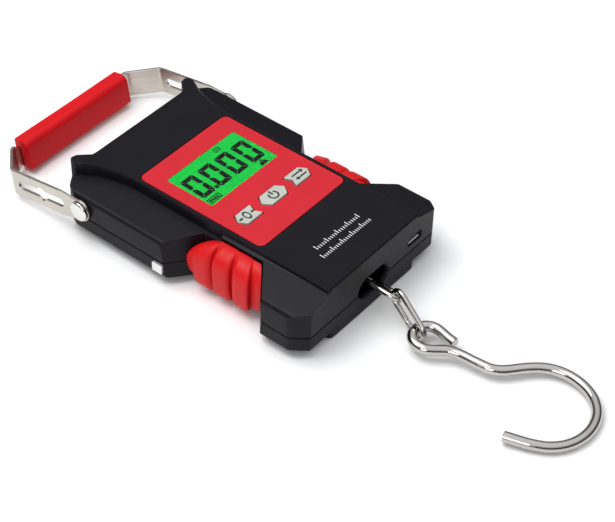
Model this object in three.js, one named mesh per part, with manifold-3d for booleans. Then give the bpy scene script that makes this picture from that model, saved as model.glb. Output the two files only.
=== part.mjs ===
// Hanging digital fish scale: two-shell housing, fold-over bow handle, chain and hook,
// three keys, backlit display, load cell, battery, charging socket and a small tape measure.
// Millimetres. Origin on the flat of the back, under the middle of the display panel.
// +X to the right when reading the display, +Y towards the handle, +Z out of the display.

import * as THREE from 'three';
import { mergeVertices } from 'three/addons/utils/BufferGeometryUtils.js';
import Module from 'manifold-3d';

const wasm = await Module();
wasm.setup();

// ---------------------------------------------------------------- driving dimensions

const GAP = 0.3;

const HOUSING = {
  halfWidth: 42.2,
  handleEnd: 53.2,
  earEnd: 58.9,
  hookEnd: -63.6,
  backZ: 3.4,
  slabHalfWidth: 25.6,
  partingZ: 10.4,
  ridgeZ: 20,
  faceZ: 26.6,
  wall: 2.2,
};

const PLATE = { halfWidth: 27.1, earHalfWidth: 34.4, underside: 24.2 };

const PANEL = { halfWidth: 25, halfLength: 30.4, corner: 2.6, thickness: 0.8, margin: 0.3 };

const DISPLAY = { halfWidth: 19.3, yLow: -1.5, yHigh: 21.3 };

const KEY = { y: -15.2, halfLength: 5.3, halfHeight: 3.3, pitch: 15.1, proud: 0.5, travel: 0.6 };

const NOTCH = { innerX: 28.6, yHandle: -6, yHook: -34, slope: 0.78, lean: 0.14 };

const PIVOT = { y: 44.6, z: 14.3, shankRadius: 2.2, headRadius: 4.2 };

const BOW = {
  innerX: 42.55,
  thickness: 1.2,
  width: 11.5,
  reach: 48.2,
  bendReach: 37.5,
  barHalfLength: 32.6,
  droop: 8.84,
};

const GRIP = { halfLength: 29, depth: 8, width: 13.4, inset: 1.7, lift: 1.2, corner: 2 };

const WIRE = { link: 1.15, hook: 2.1, eye: 1.3 };

const LINK = { length: 20.4, width: 7.5 };

const ANCHOR = { y: -55, z: 11.2, radius: 3.9, roll: 60 };

const HOOK = { eyeRadius: 5.8, eyeTurn: 16.2, loopRadius: 18.6, loopX: -1, loopReach: 55.3 };

const TAPE = { reelX: -23, reelY: 17.3, coilRadius: 11, lineY: 5.8, zLow: 5.2, zHigh: 9.4 };

const LOAD_CELL = { z0: 5.2, z1: 17.4, y0: -48, y1: 7, boltYs: [-0.5, -10.5] };

const BOSSES = [[19.5, 43.5], [-19.5, 45.5], [20.5, -40], [-20.5, -50]];

const COLOUR = {
  black: 0x26262a,
  softBlack: 0x2b2a2f,
  panelRed: 0xd63442,
  gripRed: 0xde1c20,
  handleRed: 0xe01e28,
  lcdGreen: 0x00cd46,
  key: 0xc4ccbe,
  steel: 0xb4afa8,
  chrome: 0xd2d2d0,
  board: 0x1f5a3a,
  aluminium: 0xb9bcc0,
  cell: 0x8e98a8,
  tape: 0xe8d23a,
};

// ---------------------------------------------------------------- solid helpers

function toManifold(geometry) {
  const bare = geometry.index ? geometry.toNonIndexed() : geometry.clone();
  bare.deleteAttribute('normal');
  bare.deleteAttribute('uv');
  const welded = mergeVertices(bare, 1e-4);
  return new wasm.Manifold(new wasm.Mesh({
    numProp: 3,
    vertProperties: Float32Array.from(welded.attributes.position.array),
    triVerts: Uint32Array.from(welded.index.array),
  }));
}

function toGeometry(solid) {
  const data = solid.getMesh();
  const geometry = new THREE.BufferGeometry();
  geometry.setAttribute('position', new THREE.BufferAttribute(data.vertProperties, 3));
  geometry.setIndex(new THREE.BufferAttribute(data.triVerts, 1));
  const flat = geometry.toNonIndexed();
  flat.computeVertexNormals();
  return flat;
}

const union = (parts) => parts.reduce((sum, part) => sum.add(part));

const cut = (base, tools) => tools.reduce((rest, tool) => rest.subtract(tool), base);

function shapeOf(points) {
  return new THREE.Shape(points.map(([x, y]) => new THREE.Vector2(x, y)));
}

// Prism along Z from a point list or a Shape; bevel trims both end rims inside the outline.
function prism(outline, z0, z1, bevel = 0) {
  const shape = outline instanceof THREE.Shape ? outline : shapeOf(outline);
  const geometry = new THREE.ExtrudeGeometry(shape, {
    depth: z1 - z0 - 2 * bevel,
    curveSegments: 8,
    bevelEnabled: bevel > 0,
    bevelThickness: bevel,
    bevelSize: bevel,
    bevelOffset: -bevel,
    bevelSegments: 1,
  });
  geometry.translate(0, 0, z0 + bevel);
  return geometry;
}

// Prism along X: the outline's first coordinate becomes Y and its second becomes Z.
function prismX(outline, x0, x1, bevel = 0) {
  const geometry = prism(outline, x0, x1, bevel);
  geometry.applyMatrix4(new THREE.Matrix4().set(
    0, 0, 1, 0,
    1, 0, 0, 0,
    0, 1, 0, 0,
    0, 0, 0, 1,
  ));
  return geometry;
}

// Prism along Y: the outline's first coordinate becomes X and its second becomes Z.
function prismY(outline, y0, y1, bevel = 0) {
  const geometry = prism(outline, -y1, -y0, bevel);
  geometry.rotateX(Math.PI / 2);
  return geometry;
}

function box(x0, x1, y0, y1, z0, z1) {
  const geometry = new THREE.BoxGeometry(x1 - x0, y1 - y0, z1 - z0);
  geometry.translate((x0 + x1) / 2, (y0 + y1) / 2, (z0 + z1) / 2);
  return geometry;
}

function post(x, y, z0, z1, radius, segments = 24) {
  const geometry = new THREE.CylinderGeometry(radius, radius, z1 - z0, segments);
  geometry.rotateX(Math.PI / 2);
  geometry.translate(x, y, (z0 + z1) / 2);
  return geometry;
}

function rodX(y, z, x0, x1, radius, segments = 24) {
  const geometry = new THREE.CylinderGeometry(radius, radius, x1 - x0, segments);
  geometry.rotateZ(Math.PI / 2);
  geometry.translate((x0 + x1) / 2, y, z);
  return geometry;
}

// Solid of revolution about Z from (radius, height) pairs that start and end on the axis.
function turned(profile, segments = 24) {
  const geometry = new THREE.LatheGeometry(
    profile.map(([r, h]) => new THREE.Vector2(r, h)),
    segments,
  );
  geometry.rotateX(Math.PI / 2);
  return geometry;
}

function roundedRect(cx, cy, width, height, radius) {
  const shape = new THREE.Shape();
  const x0 = cx - width / 2;
  const x1 = cx + width / 2;
  const y0 = cy - height / 2;
  const y1 = cy + height / 2;
  shape.moveTo(x0 + radius, y0);
  shape.lineTo(x1 - radius, y0);
  shape.absarc(x1 - radius, y0 + radius, radius, -Math.PI / 2, 0, false);
  shape.lineTo(x1, y1 - radius);
  shape.absarc(x1 - radius, y1 - radius, radius, 0, Math.PI / 2, false);
  shape.lineTo(x0 + radius, y1);
  shape.absarc(x0 + radius, y1 - radius, radius, Math.PI / 2, Math.PI, false);
  shape.lineTo(x0, y0 + radius);
  shape.absarc(x0 + radius, y0 + radius, radius, Math.PI, 1.5 * Math.PI, false);
  return shape;
}

// Moves every corner of a counter-clockwise outline inwards so that each side shifts by d.
function inset(points, d) {
  const count = points.length;
  return points.map((point, i) => {
    const before = points[(i + count - 1) % count];
    const after = points[(i + 1) % count];
    const a = new THREE.Vector2(point[0] - before[0], point[1] - before[1]).normalize();
    const b = new THREE.Vector2(after[0] - point[0], after[1] - point[1]).normalize();
    const normal = new THREE.Vector2(-a.y - b.y, a.x + b.x).normalize();
    const scale = d / (normal.x * -a.y + normal.y * a.x);
    return [point[0] + normal.x * scale, point[1] + normal.y * scale];
  });
}

// Right-hand half of an outline, listed from the hook end to the handle end, plus its mirror.
function mirrored(half) {
  const left = half.map(([x, y]) => [-x, y]).reverse();
  return half.concat(left);
}

// Straight-sided solid between two outlines with the same number of corners.
function loft(bottom, top, z0, z1) {
  const positions = [];
  const count = bottom.length;
  const low = bottom.map(([x, y]) => [x, y, z0]);
  const high = top.map(([x, y]) => [x, y, z1]);
  const face = (a, b, c) => positions.push(...a, ...b, ...c);
  for (let i = 0; i < count; i += 1) {
    const j = (i + 1) % count;
    face(low[i], low[j], high[j]);
    face(low[i], high[j], high[i]);
  }
  for (let i = 1; i < count - 1; i += 1) {
    face(low[0], low[i + 1], low[i]);
    face(high[0], high[i], high[i + 1]);
  }
  const geometry = new THREE.BufferGeometry();
  geometry.setAttribute('position', new THREE.Float32BufferAttribute(positions, 3));
  return geometry;
}

// Round wire along a curve.
function wire(curve, radius, steps, sides) {
  const section = new THREE.Shape();
  section.absarc(0, 0, radius, 0, 2 * Math.PI, false);
  return new THREE.ExtrudeGeometry(section, {
    steps,
    curveSegments: sides,
    bevelEnabled: false,
    extrudePath: curve,
  });
}

const group = new THREE.Group();
group.name = 'digital_fish_scale';

function add(name, part, colour, roughness, metalness) {
  const geometry = part.getMesh ? toGeometry(part) : part;
  const material = new THREE.MeshStandardMaterial({ color: colour, roughness, metalness });
  const node = new THREE.Mesh(geometry, material);
  node.name = name;
  group.add(node);
  return node;
}

// ---------------------------------------------------------------- housing outlines

const flankOutline = mirrored([
  [37.4, HOUSING.hookEnd],
  [HOUSING.halfWidth, -57.4],
  [HOUSING.halfWidth, 48.6],
  [40.2, 52.8],
  [36, 55.6],
  [30.5, 56],
  [26.4, HOUSING.handleEnd],
]);

const plateOutline = mirrored([
  [PLATE.halfWidth, HOUSING.hookEnd],
  [PLATE.halfWidth, 30],
  [27.5, 34.5],
  [28.2, 39.5],
  [30.4, 48],
  [33, 52.6],
  [PLATE.earHalfWidth, 55.4],
  [34.2, 57.6],
  [32.7, HOUSING.earEnd],
  [30.4, 58.4],
  [28.4, 56.4],
  [26, 53.9],
  [23.6, 53.7],
]);

const plateHollowOutline = mirrored([
  [PLATE.halfWidth - 2.5, HOUSING.hookEnd + 2.6],
  [PLATE.halfWidth - 2.5, 32],
  [25.6, 39.5],
  [27.6, 47],
  [27.2, 50.2],
  [23, 50.9],
]);

// Finger notch at each side: a trapezoid, open outwards, leaning a little towards the hook.
function notchCutter(side, grow) {
  const farX = 52;
  const corners = (z) => {
    const shift = NOTCH.lean * (z - HOUSING.ridgeZ);
    const inner = NOTCH.innerX - grow;
    const spread = NOTCH.slope * (farX - inner) + grow * 0.5;
    const yHandle = NOTCH.yHandle + grow * 0.8 + shift;
    const yHook = NOTCH.yHook - grow * 0.8 - shift * 0.3;
    const ring = [
      [inner, yHook],
      [farX, yHook - spread],
      [farX, yHandle + spread],
      [inner, yHandle],
    ];
    return side > 0 ? ring : ring.map(([x, y]) => [-x, y]).reverse();
  };
  return toManifold(loft(corners(-5), corners(40), -5, 40));
}

// Everything above the sloping top of the flanks, from y0 to y1.
function flankTopCutter(side, y0, y1, creaseZ, ridgeZ) {
  const x0 = PLATE.halfWidth - 1.5;
  const drop = (creaseZ - ridgeZ) / (HOUSING.halfWidth - PLATE.halfWidth);
  const profile = [
    [x0, creaseZ + drop * 1.5],
    [41.2, ridgeZ + drop],
    [HOUSING.halfWidth, ridgeZ - 1.2],
    [60, ridgeZ - 1.2],
    [60, 40],
    [x0, 40],
  ];
  const outline = side > 0 ? profile : profile.map(([x, z]) => [-x, z]).reverse();
  return toManifold(prismY(outline, y0, y1));
}

function hookHole() {
  return toManifold(prismY(roundedRect(0, ANCHOR.z, 17, 9.2, 4.4), -70, -58));
}

function pivotBores() {
  return toManifold(rodX(PIVOT.y, PIVOT.z, -60, 60, PIVOT.shankRadius + GAP, 28));
}

function frontHousing() {
  const z0 = HOUSING.partingZ + GAP / 2;
  let flanks = toManifold(prism(flankOutline, z0, 26));
  for (const side of [1, -1]) {
    flanks = cut(flanks, [
      flankTopCutter(side, -14, 70, 22, HOUSING.ridgeZ),
      flankTopCutter(side, -70, -14, 24.9, HOUSING.ridgeZ + 1),
      notchCutter(side, 0),
    ]);
  }
  const plate = toManifold(prism(plateOutline, 17, HOUSING.faceZ, 0.5));
  let solid = flanks.add(plate);

  let cavity = toManifold(prism(inset(flankOutline, HOUSING.wall), z0 - 2, 17.9));
  cavity = cut(cavity, [notchCutter(1, HOUSING.wall), notchCutter(-1, HOUSING.wall)]);
  const plateCavity = toManifold(prism(plateHollowOutline, 12, PLATE.underside));
  solid = cut(solid, [cavity, plateCavity]);

  for (const [x, y] of BOSSES) {
    solid = solid.add(toManifold(post(x, y, z0 + 0.6, PLATE.underside + 0.6, 3.2)));
    solid = solid.subtract(toManifold(post(x, y, z0, 19, 1.4, 20)));
  }
  for (const side of [1, -1]) {
    const stud = toManifold(post(side * 21.6, 33, 20.2, PLATE.underside + 0.6, 2.2, 20));
    solid = solid.add(stud.subtract(toManifold(post(side * 21.6, 33, 19, 23.4, 1.1, 16))));
  }

  const recess = roundedRect(
    0,
    0,
    2 * (PANEL.halfWidth + PANEL.margin),
    2 * (PANEL.halfLength + PANEL.margin),
    PANEL.corner + PANEL.margin,
  );
  const recessFloor = HOUSING.faceZ - PANEL.thickness - GAP;
  const window = box(
    -DISPLAY.halfWidth,
    DISPLAY.halfWidth,
    DISPLAY.yLow,
    DISPLAY.yHigh,
    20,
    30,
  );
  solid = cut(solid, [toManifold(prism(recess, recessFloor, 30)), toManifold(window)]);
  for (const index of [-1, 0, 1]) {
    solid = solid.subtract(toManifold(prism(keyOutline(index, 0.35), 20, 30)));
  }
  return cut(solid, [hookHole(), pivotBores(), usbWindow()]);
}

function usbWindow() {
  return toManifold(prismY(roundedRect(25.2, 15.8, 8.4, 3.4, 1), -70, -60));
}

function rearHousing() {
  const z1 = HOUSING.partingZ - GAP / 2;
  const slabOutline = mirrored([
    [HOUSING.slabHalfWidth, HOUSING.hookEnd],
    [HOUSING.slabHalfWidth, 49.5],
    [23, HOUSING.handleEnd],
  ]);
  let solid = toManifold(prism(flankOutline, HOUSING.backZ, z1));
  solid = cut(solid, [notchCutter(1, 0), notchCutter(-1, 0)]);
  solid = solid.add(toManifold(prism(slabOutline, 0, 6)));

  const floorZ = HOUSING.backZ + 1.4;
  let cavity = toManifold(prism(inset(flankOutline, HOUSING.wall), floorZ, z1 + 2));
  cavity = cut(cavity, [notchCutter(1, HOUSING.wall), notchCutter(-1, HOUSING.wall)]);
  const slabCavity = toManifold(prism(inset(slabOutline, HOUSING.wall + 0.4), 2, 8));
  solid = cut(solid, [cavity, slabCavity]);

  for (const [x, y] of BOSSES) {
    solid = solid.add(toManifold(post(x, y, 1, z1 - 0.4, 3.2)));
    solid = cut(solid, [
      toManifold(post(x, y, -1, 12, 1.4, 20)),
      toManifold(post(x, y, -1, 2.6, 2.6, 24)),
    ]);
  }
  for (const y of LOAD_CELL.boltYs) {
    const pad = toManifold(post(0, y, 1, LOAD_CELL.z0 - GAP, 4.2, 24));
    solid = solid.add(pad);
    solid = solid.subtract(toManifold(post(0, y, 2.4, 12, 1.7, 20)));
  }
  const exit = box(-50, -39, TAPE.lineY - 2.8, TAPE.lineY + 2.8, 4.9, 9.7);
  return cut(solid, [toManifold(exit), hookHole()]);
}

// ---------------------------------------------------------------- display, keys, electronics

// Flat key outlines: index 0 is the long hexagon in the middle, -1 and +1 are tags whose
// notched ends face the middle key.
function keyOutline(index, grow) {
  const w = KEY.halfLength + grow;
  const h = KEY.halfHeight + grow;
  const cx = index * KEY.pitch;
  if (index === 0) {
    const far = w + 1.4;
    return [
      [far, KEY.y],
      [w - 0.9, KEY.y + h],
      [-w + 0.9, KEY.y + h],
      [-far, KEY.y],
      [-w + 0.9, KEY.y - h],
      [w - 0.9, KEY.y - h],
    ];
  }
  const tag = [
    [w, 0],
    [w - 2.1, h],
    [-w - 0.45 * grow, h],
    [-w + 1.7 - grow, 0],
    [-w - 0.45 * grow, -h],
    [w - 2.1, -h],
  ];
  const turnedTag = index > 0 ? tag : tag.map(([x, y]) => [-x, y]).reverse();
  return turnedTag.map(([x, y]) => [x + cx, y + KEY.y]);
}

function facePanel() {
  const outline = roundedRect(0, 0, 2 * PANEL.halfWidth, 2 * PANEL.halfLength, PANEL.corner);
  const z0 = HOUSING.faceZ - PANEL.thickness;
  const sheet = toManifold(prism(outline, z0, HOUSING.faceZ));
  const window = toManifold(box(
    -DISPLAY.halfWidth,
    DISPLAY.halfWidth,
    DISPLAY.yLow,
    DISPLAY.yHigh,
    20,
    30,
  ));
  const holes = [-1, 0, 1].map((index) => toManifold(prism(keyOutline(index, 0.35), 20, 30)));
  return cut(sheet, [window, ...holes]);
}

function displayWindow() {
  return box(
    -DISPLAY.halfWidth + GAP,
    DISPLAY.halfWidth - GAP,
    DISPLAY.yLow + GAP,
    DISPLAY.yHigh - GAP,
    HOUSING.faceZ - 0.7,
    HOUSING.faceZ - 0.1,
  );
}

function lcdGlass() {
  const w = DISPLAY.halfWidth - GAP;
  return box(-w, w, DISPLAY.yLow + GAP, DISPLAY.yHigh - GAP, 23.9, HOUSING.faceZ - 1);
}

function keyCap(index) {
  const cap = toManifold(prism(keyOutline(index, 0), 23.2, HOUSING.faceZ + KEY.proud));
  const flange = toManifold(prism(keyOutline(index, 0.9), 22.7, 23.8));
  return cap.add(flange);
}

function tactSwitch(index) {
  const x = index * KEY.pitch;
  const base = toManifold(box(x - 3, x + 3, KEY.y - 3, KEY.y + 3, 20.1, 21.3));
  return base.add(toManifold(post(x, KEY.y, 21.2, 22, 1.6, 20)));
}

function loadCell() {
  const { z0, z1, y0, y1 } = LOAD_CELL;
  const mid = (z0 + z1) / 2;
  let bar = toManifold(box(-6.3, 6.3, y0, y1, z0, z1));
  for (const y of [-22, -32]) {
    bar = bar.subtract(toManifold(rodX(y, mid, -10, 10, 4.3, 28)));
  }
  bar = bar.subtract(toManifold(box(-10, 10, -32, -22, mid - 1.6, mid + 1.6)));
  for (const y of LOAD_CELL.boltYs) {
    bar = bar.subtract(toManifold(post(0, y, 0, 30, 1.7, 16)));
    bar = bar.subtract(toManifold(post(0, y, 16, 30, 3.5, 20)));
  }
  const stud = new THREE.CylinderGeometry(2.3, 2.3, 12, 24);
  stud.translate(0, y0 + 3, ANCHOR.z);
  return bar.subtract(toManifold(stud));
}

function loadCellBolt(y) {
  const profile = [[0, 2.9], [1.35, 2.9], [1.35, 16.35], [3.1, 16.35], [3.1, 17.6], [0, 17.6]];
  return turned(profile, 16).translate(0, y, 0);
}

function mainBoard() {
  const outline = roundedRect(0, 4, 48.6, 64, 1.5);
  let board = toManifold(prism(outline, 18.4, 19.8));
  for (const side of [1, -1]) {
    board = board.subtract(toManifold(post(side * 21.6, 33, 15, 25, 1.5, 20)));
  }
  return board;
}

function boardScrew(side) {
  const profile = [[0, 16.9], [2, 16.9], [2, 18.1], [0.8, 18.1], [0.8, 23], [0, 23]];
  return turned(profile, 16).translate(side * 21.6, 33, 0);
}

function housingScrew(x, y) {
  const profile = [[0, 0.7], [2.2, 0.7], [2.2, 2.2], [1.05, 2.2], [1.05, 18], [0, 18.6]];
  const screw = toManifold(turned(profile, 20));
  const slots = [box(-1.3, 1.3, -0.3, 0.3, 0, 1.3), box(-0.3, 0.3, -1.3, 1.3, 0, 1.3)];
  const cross = cut(screw, slots.map(toManifold));
  return cross.translate([x, y, 0]);
}

function usbSocket() {
  const outer = toManifold(prismY(roundedRect(25.2, 15.8, 7.6, 2.8, 0.8), -63, -57.2));
  const hollow = toManifold(prismY(roundedRect(25.2, 15.8, 7, 2.2, 0.6), -64, -58));
  const tongue = toManifold(box(23.2, 27.2, -61.8, -57.6, 15.7, 16.3));
  return outer.subtract(hollow).add(tongue);
}

function chargeBoard() {
  return box(19, 31.4, -60.8, -45, 12.7, 14.1);
}

// ---------------------------------------------------------------- side grips

// Soft ribbed grip: a pad that fills the notch and carries three upright ribs. Each rib swells
// towards the hook end and then steps back in; the pad's top falls away at the handle end.
function sideGrip(side) {
  const ribs = 3;
  const firstRib = -5.9;
  const pitch = 9.4;
  const padX = 35.6;
  const swell = 2;
  const crest = 0.82;
  const height = (t) => (t < crest
    ? 1 - 0.75 * (1 - t / crest) ** 2
    : 0.25 + 0.75 * Math.sqrt(1 - ((t - crest) / (1 - crest)) ** 2));
  const ring = [[NOTCH.innerX + 0.6, 6], [NOTCH.innerX + 0.6, -46], [padX, -46]];
  for (let rib = ribs - 1; rib >= 0; rib -= 1) {
    for (const t of [1, 0.97, 0.91, 0.82, 0.6, 0.4, 0.2, 0.02]) {
      const level = t === 1 && rib === ribs - 1 ? 0.02 : height(t);
      ring.push([padX + swell * level, firstRib - pitch * (rib + t)]);
    }
  }
  ring.push([padX, firstRib], [padX, 6]);
  const inside = notchCutter(1, -GAP);
  const body = toManifold(prism(counterClockwise(ring), 3.3, 23.6, 0.6));
  const roll = [[20, 2], [32.6, 2], [34.9, 3.2], [36.5, 5.2], [37.7, 8.4], [37.7, 15], [36.4, 18.6],
    [34, 21.6], [31, 23.4], [20, 24.5]];
  const rounded = toManifold(prismY(roll, -60, 20));
  const fall = [[-60, -5], [-60, 23.6], [-14, 23.6], [-9, 22.2], [-6, 21.2], [-3.6, 19.8],
    [-1.9, 18], [-0.9, 15], [-0.9, -5]];
  const sloped = toManifold(prismX(counterClockwise(fall), 20, 45));
  const grip = body.intersect(rounded).intersect(inside).intersect(sloped);
  return side > 0 ? grip : grip.mirror([1, 0, 0]);
}

function counterClockwise(points) {
  let area = 0;
  points.forEach(([x, y], i) => {
    const [nx, ny] = points[(i + 1) % points.length];
    area += x * ny - nx * y;
  });
  return area > 0 ? points : points.slice().reverse();
}

// ---------------------------------------------------------------- bow handle

// Bow parts are drawn level, with the pivot at (0, 0), then lowered about the pivot.
function lower(solid) {
  return solid.rotate([-BOW.droop, 0, 0]).translate([0, PIVOT.y, PIVOT.z]);
}

function bowStrip() {
  const outer = BOW.innerX + BOW.thickness;
  const t = BOW.thickness;
  const half = (x, bend, bar, reach) => [
    [x, -8],
    [x, bend - 1.4],
    [x - 1, bend + 1],
    [bar + 1.2, reach - 1],
    [bar - 1.2, reach],
  ];
  const outside = half(outer, BOW.bendReach, BOW.barHalfLength, BOW.reach + t / 2);
  const inside = half(BOW.innerX, BOW.bendReach - 0.5, BOW.barHalfLength - 0.5, BOW.reach - t / 2);
  const mirrorX = (list) => list.map(([x, y]) => [-x, y]).reverse();
  const outline = [...outside, ...mirrorX(outside), ...mirrorX(inside).reverse(), ...inside.reverse()];
  let strip = toManifold(prism(counterClockwise(outline), -BOW.width / 2, BOW.width / 2));

  const side = new THREE.Shape();
  const w = BOW.width / 2;
  side.moveTo(60, -w);
  side.lineTo(60, w);
  side.lineTo(9.5, w);
  side.absarc(0, 0, 4.7, 0.42 * Math.PI, 1.58 * Math.PI, false);
  side.lineTo(9.5, -w);
  strip = strip.intersect(toManifold(prismX(side, -60, 60)));

  const neck = 3.9;
  const trims = [
    box(-30, 30, 40, 60, neck, 10),
    box(-30, 30, 40, 60, -10, -neck),
    prismX(roundedRect(21.3, 0, 25.4, 3.7, 1.8), -60, 60),
    rodX(21, 0, -60, 60, 3, 20),
    rodX(0, 0, -60, 60, PIVOT.shankRadius + 0.1, 28),
  ];
  return lower(cut(strip, trims.map(toManifold)));
}

function bowGrip() {
  const shape = roundedRect(
    BOW.reach - GRIP.inset, GRIP.lift, GRIP.depth, GRIP.width, GRIP.corner,
  );
  const sleeve = toManifold(prismX(shape, -GRIP.halfLength, GRIP.halfLength, 0.6));
  const passage = box(-40, 40, BOW.reach - 0.95, BOW.reach + 0.95, -4.25, 4.25);
  return lower(sleeve.subtract(toManifold(passage)));
}

function pivotRivet(side) {
  const head = BOW.innerX + BOW.thickness + GAP;
  const profile = [
    [0, 38],
    [3.2, 38],
    [3.2, 39.6],
    [PIVOT.shankRadius, 39.6],
    [PIVOT.shankRadius, head],
    [PIVOT.headRadius, head],
    [PIVOT.headRadius, head + 0.5],
    [3.2, head + 1.1],
    [1.6, head + 1.4],
    [0, head + 1.45],
  ];
  const rivet = turned(profile, 28);
  rivet.rotateY(side * Math.PI / 2);
  rivet.translate(0, PIVOT.y, PIVOT.z);
  return rivet;
}

// ---------------------------------------------------------------- chain and hook

// Axes of a link: u runs along it, w across it.
function linkAxes(droop, roll, yaw) {
  const d = THREE.MathUtils.degToRad(droop);
  const r = THREE.MathUtils.degToRad(roll);
  const y = THREE.MathUtils.degToRad(yaw);
  const u = new THREE.Vector3(
    -Math.sin(y) * Math.cos(d),
    -Math.cos(y) * Math.cos(d),
    -Math.sin(d),
  );
  const w = new THREE.Vector3(Math.cos(r), 0, Math.sin(r));
  w.addScaledVector(u, -w.dot(u)).normalize();
  return { u, w };
}

class StadiumCurve extends THREE.Curve {
  constructor(start, axes, length, width) {
    super();
    Object.assign(this, { start, axes, length, width });
    this.end = width / 2;
    this.side = length - width;
  }

  getPoint(t, target = new THREE.Vector3()) {
    const half = this.side + Math.PI * this.end;
    let s = ((t + 0.05) % 1) * 2 * half;
    const back = s > half;
    s -= back ? half : 0;
    let along;
    let across;
    if (s < this.side) {
      along = this.end + s;
      across = this.end;
    } else {
      const angle = (s - this.side) / this.end;
      along = this.end + this.side + this.end * Math.sin(angle);
      across = this.end * Math.cos(angle);
    }
    if (back) {
      along = this.length - along;
      across = -across;
    }
    target.copy(this.start);
    target.addScaledVector(this.axes.u, along);
    target.addScaledVector(this.axes.w, across);
    return target;
  }
}

// Closed ring of wire swept by hand, so that its two ends meet without caps.
function closedWire(curve, radius, steps, sides) {
  const positions = [];
  const centres = [];
  for (let i = 0; i < steps; i += 1) {
    centres.push(curve.getPointAt(i / steps));
  }
  const normal = new THREE.Vector3().crossVectors(curve.axes.u, curve.axes.w).normalize();
  const rings = centres.map((centre, i) => {
    const next = centres[(i + 1) % steps];
    const last = centres[(i + steps - 1) % steps];
    const tangent = new THREE.Vector3().subVectors(next, last).normalize();
    const outward = new THREE.Vector3().crossVectors(normal, tangent).normalize();
    const ring = [];
    for (let k = 0; k < sides; k += 1) {
      const a = 2 * Math.PI * k / sides;
      const point = centre.clone();
      point.addScaledVector(outward, radius * Math.cos(a));
      point.addScaledVector(normal, radius * Math.sin(a));
      ring.push(point);
    }
    return ring;
  });
  const face = (a, b, c) => positions.push(...a.toArray(), ...b.toArray(), ...c.toArray());
  for (let i = 0; i < steps; i += 1) {
    const here = rings[i];
    const there = rings[(i + 1) % steps];
    for (let k = 0; k < sides; k += 1) {
      const n = (k + 1) % sides;
      face(here[k], there[n], there[k]);
      face(here[k], here[n], there[n]);
    }
  }
  const geometry = new THREE.BufferGeometry();
  geometry.setAttribute('position', new THREE.Float32BufferAttribute(positions, 3));
  return geometry;
}

class RingCurve extends THREE.Curve {
  constructor(centre, axes, radius) {
    super();
    Object.assign(this, { centre, axes, radius });
  }

  getPoint(t, target = new THREE.Vector3()) {
    const a = 2 * Math.PI * t;
    target.copy(this.centre);
    target.addScaledVector(this.axes.u, this.radius * Math.cos(a));
    target.addScaledVector(this.axes.w, this.radius * Math.sin(a));
    return target;
  }
}

const anchorRoll = THREE.MathUtils.degToRad(ANCHOR.roll);
const anchorAxes = {
  u: new THREE.Vector3(0, -1, 0),
  w: new THREE.Vector3(Math.cos(anchorRoll), 0, Math.sin(anchorRoll)),
};
const anchorCentre = new THREE.Vector3(0, ANCHOR.y, ANCHOR.z);
const anchorTip = anchorCentre.clone().addScaledVector(anchorAxes.u, ANCHOR.radius);

const link1Axes = linkAxes(1.4, -37, 1.6);
const link1Normal = new THREE.Vector3().crossVectors(link1Axes.u, link1Axes.w);
const link1Start = anchorTip.clone()
  .addScaledVector(link1Axes.u, -(WIRE.eye + WIRE.link + 0.5));
const link1End = link1Start.clone().addScaledVector(link1Axes.u, LINK.length);

// The lower link hangs a little off the middle of the upper link's end.
const link2Axes = linkAxes(27.5, 90.5, 16.2);
const link2Start = link1End.clone()
  .addScaledVector(link2Axes.u, -(2 * WIRE.link + 0.4))
  .addScaledVector(link1Axes.w, -0.85)
  .addScaledVector(link1Normal, 0.27)
  .addScaledVector(link1Axes.u, -0.5);
const link2End = link2Start.clone().addScaledVector(link2Axes.u, LINK.length);

// Where the wire of the hook's eye passes through the lower link.
const eyeNear = link2End.clone()
  .addScaledVector(link2Axes.u, -(WIRE.link + WIRE.hook + 0.5))
  .add(new THREE.Vector3(0.8, 0.43, 0.4));

function anchorEye() {
  const ring = toManifold(closedWire(
    new RingCurve(anchorCentre, anchorAxes, ANCHOR.radius),
    WIRE.eye,
    24,
    10,
  ));
  const stud = new THREE.CylinderGeometry(1.9, 1.9, 8.6, 24);
  stud.translate(0, ANCHOR.y + ANCHOR.radius + 3.9, ANCHOR.z);
  return ring.add(toManifold(stud));
}

function chainLink(start, axes) {
  return toManifold(closedWire(
    new StadiumCurve(start, axes, LINK.length, LINK.width),
    WIRE.link,
    36,
    10,
  ));
}

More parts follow.
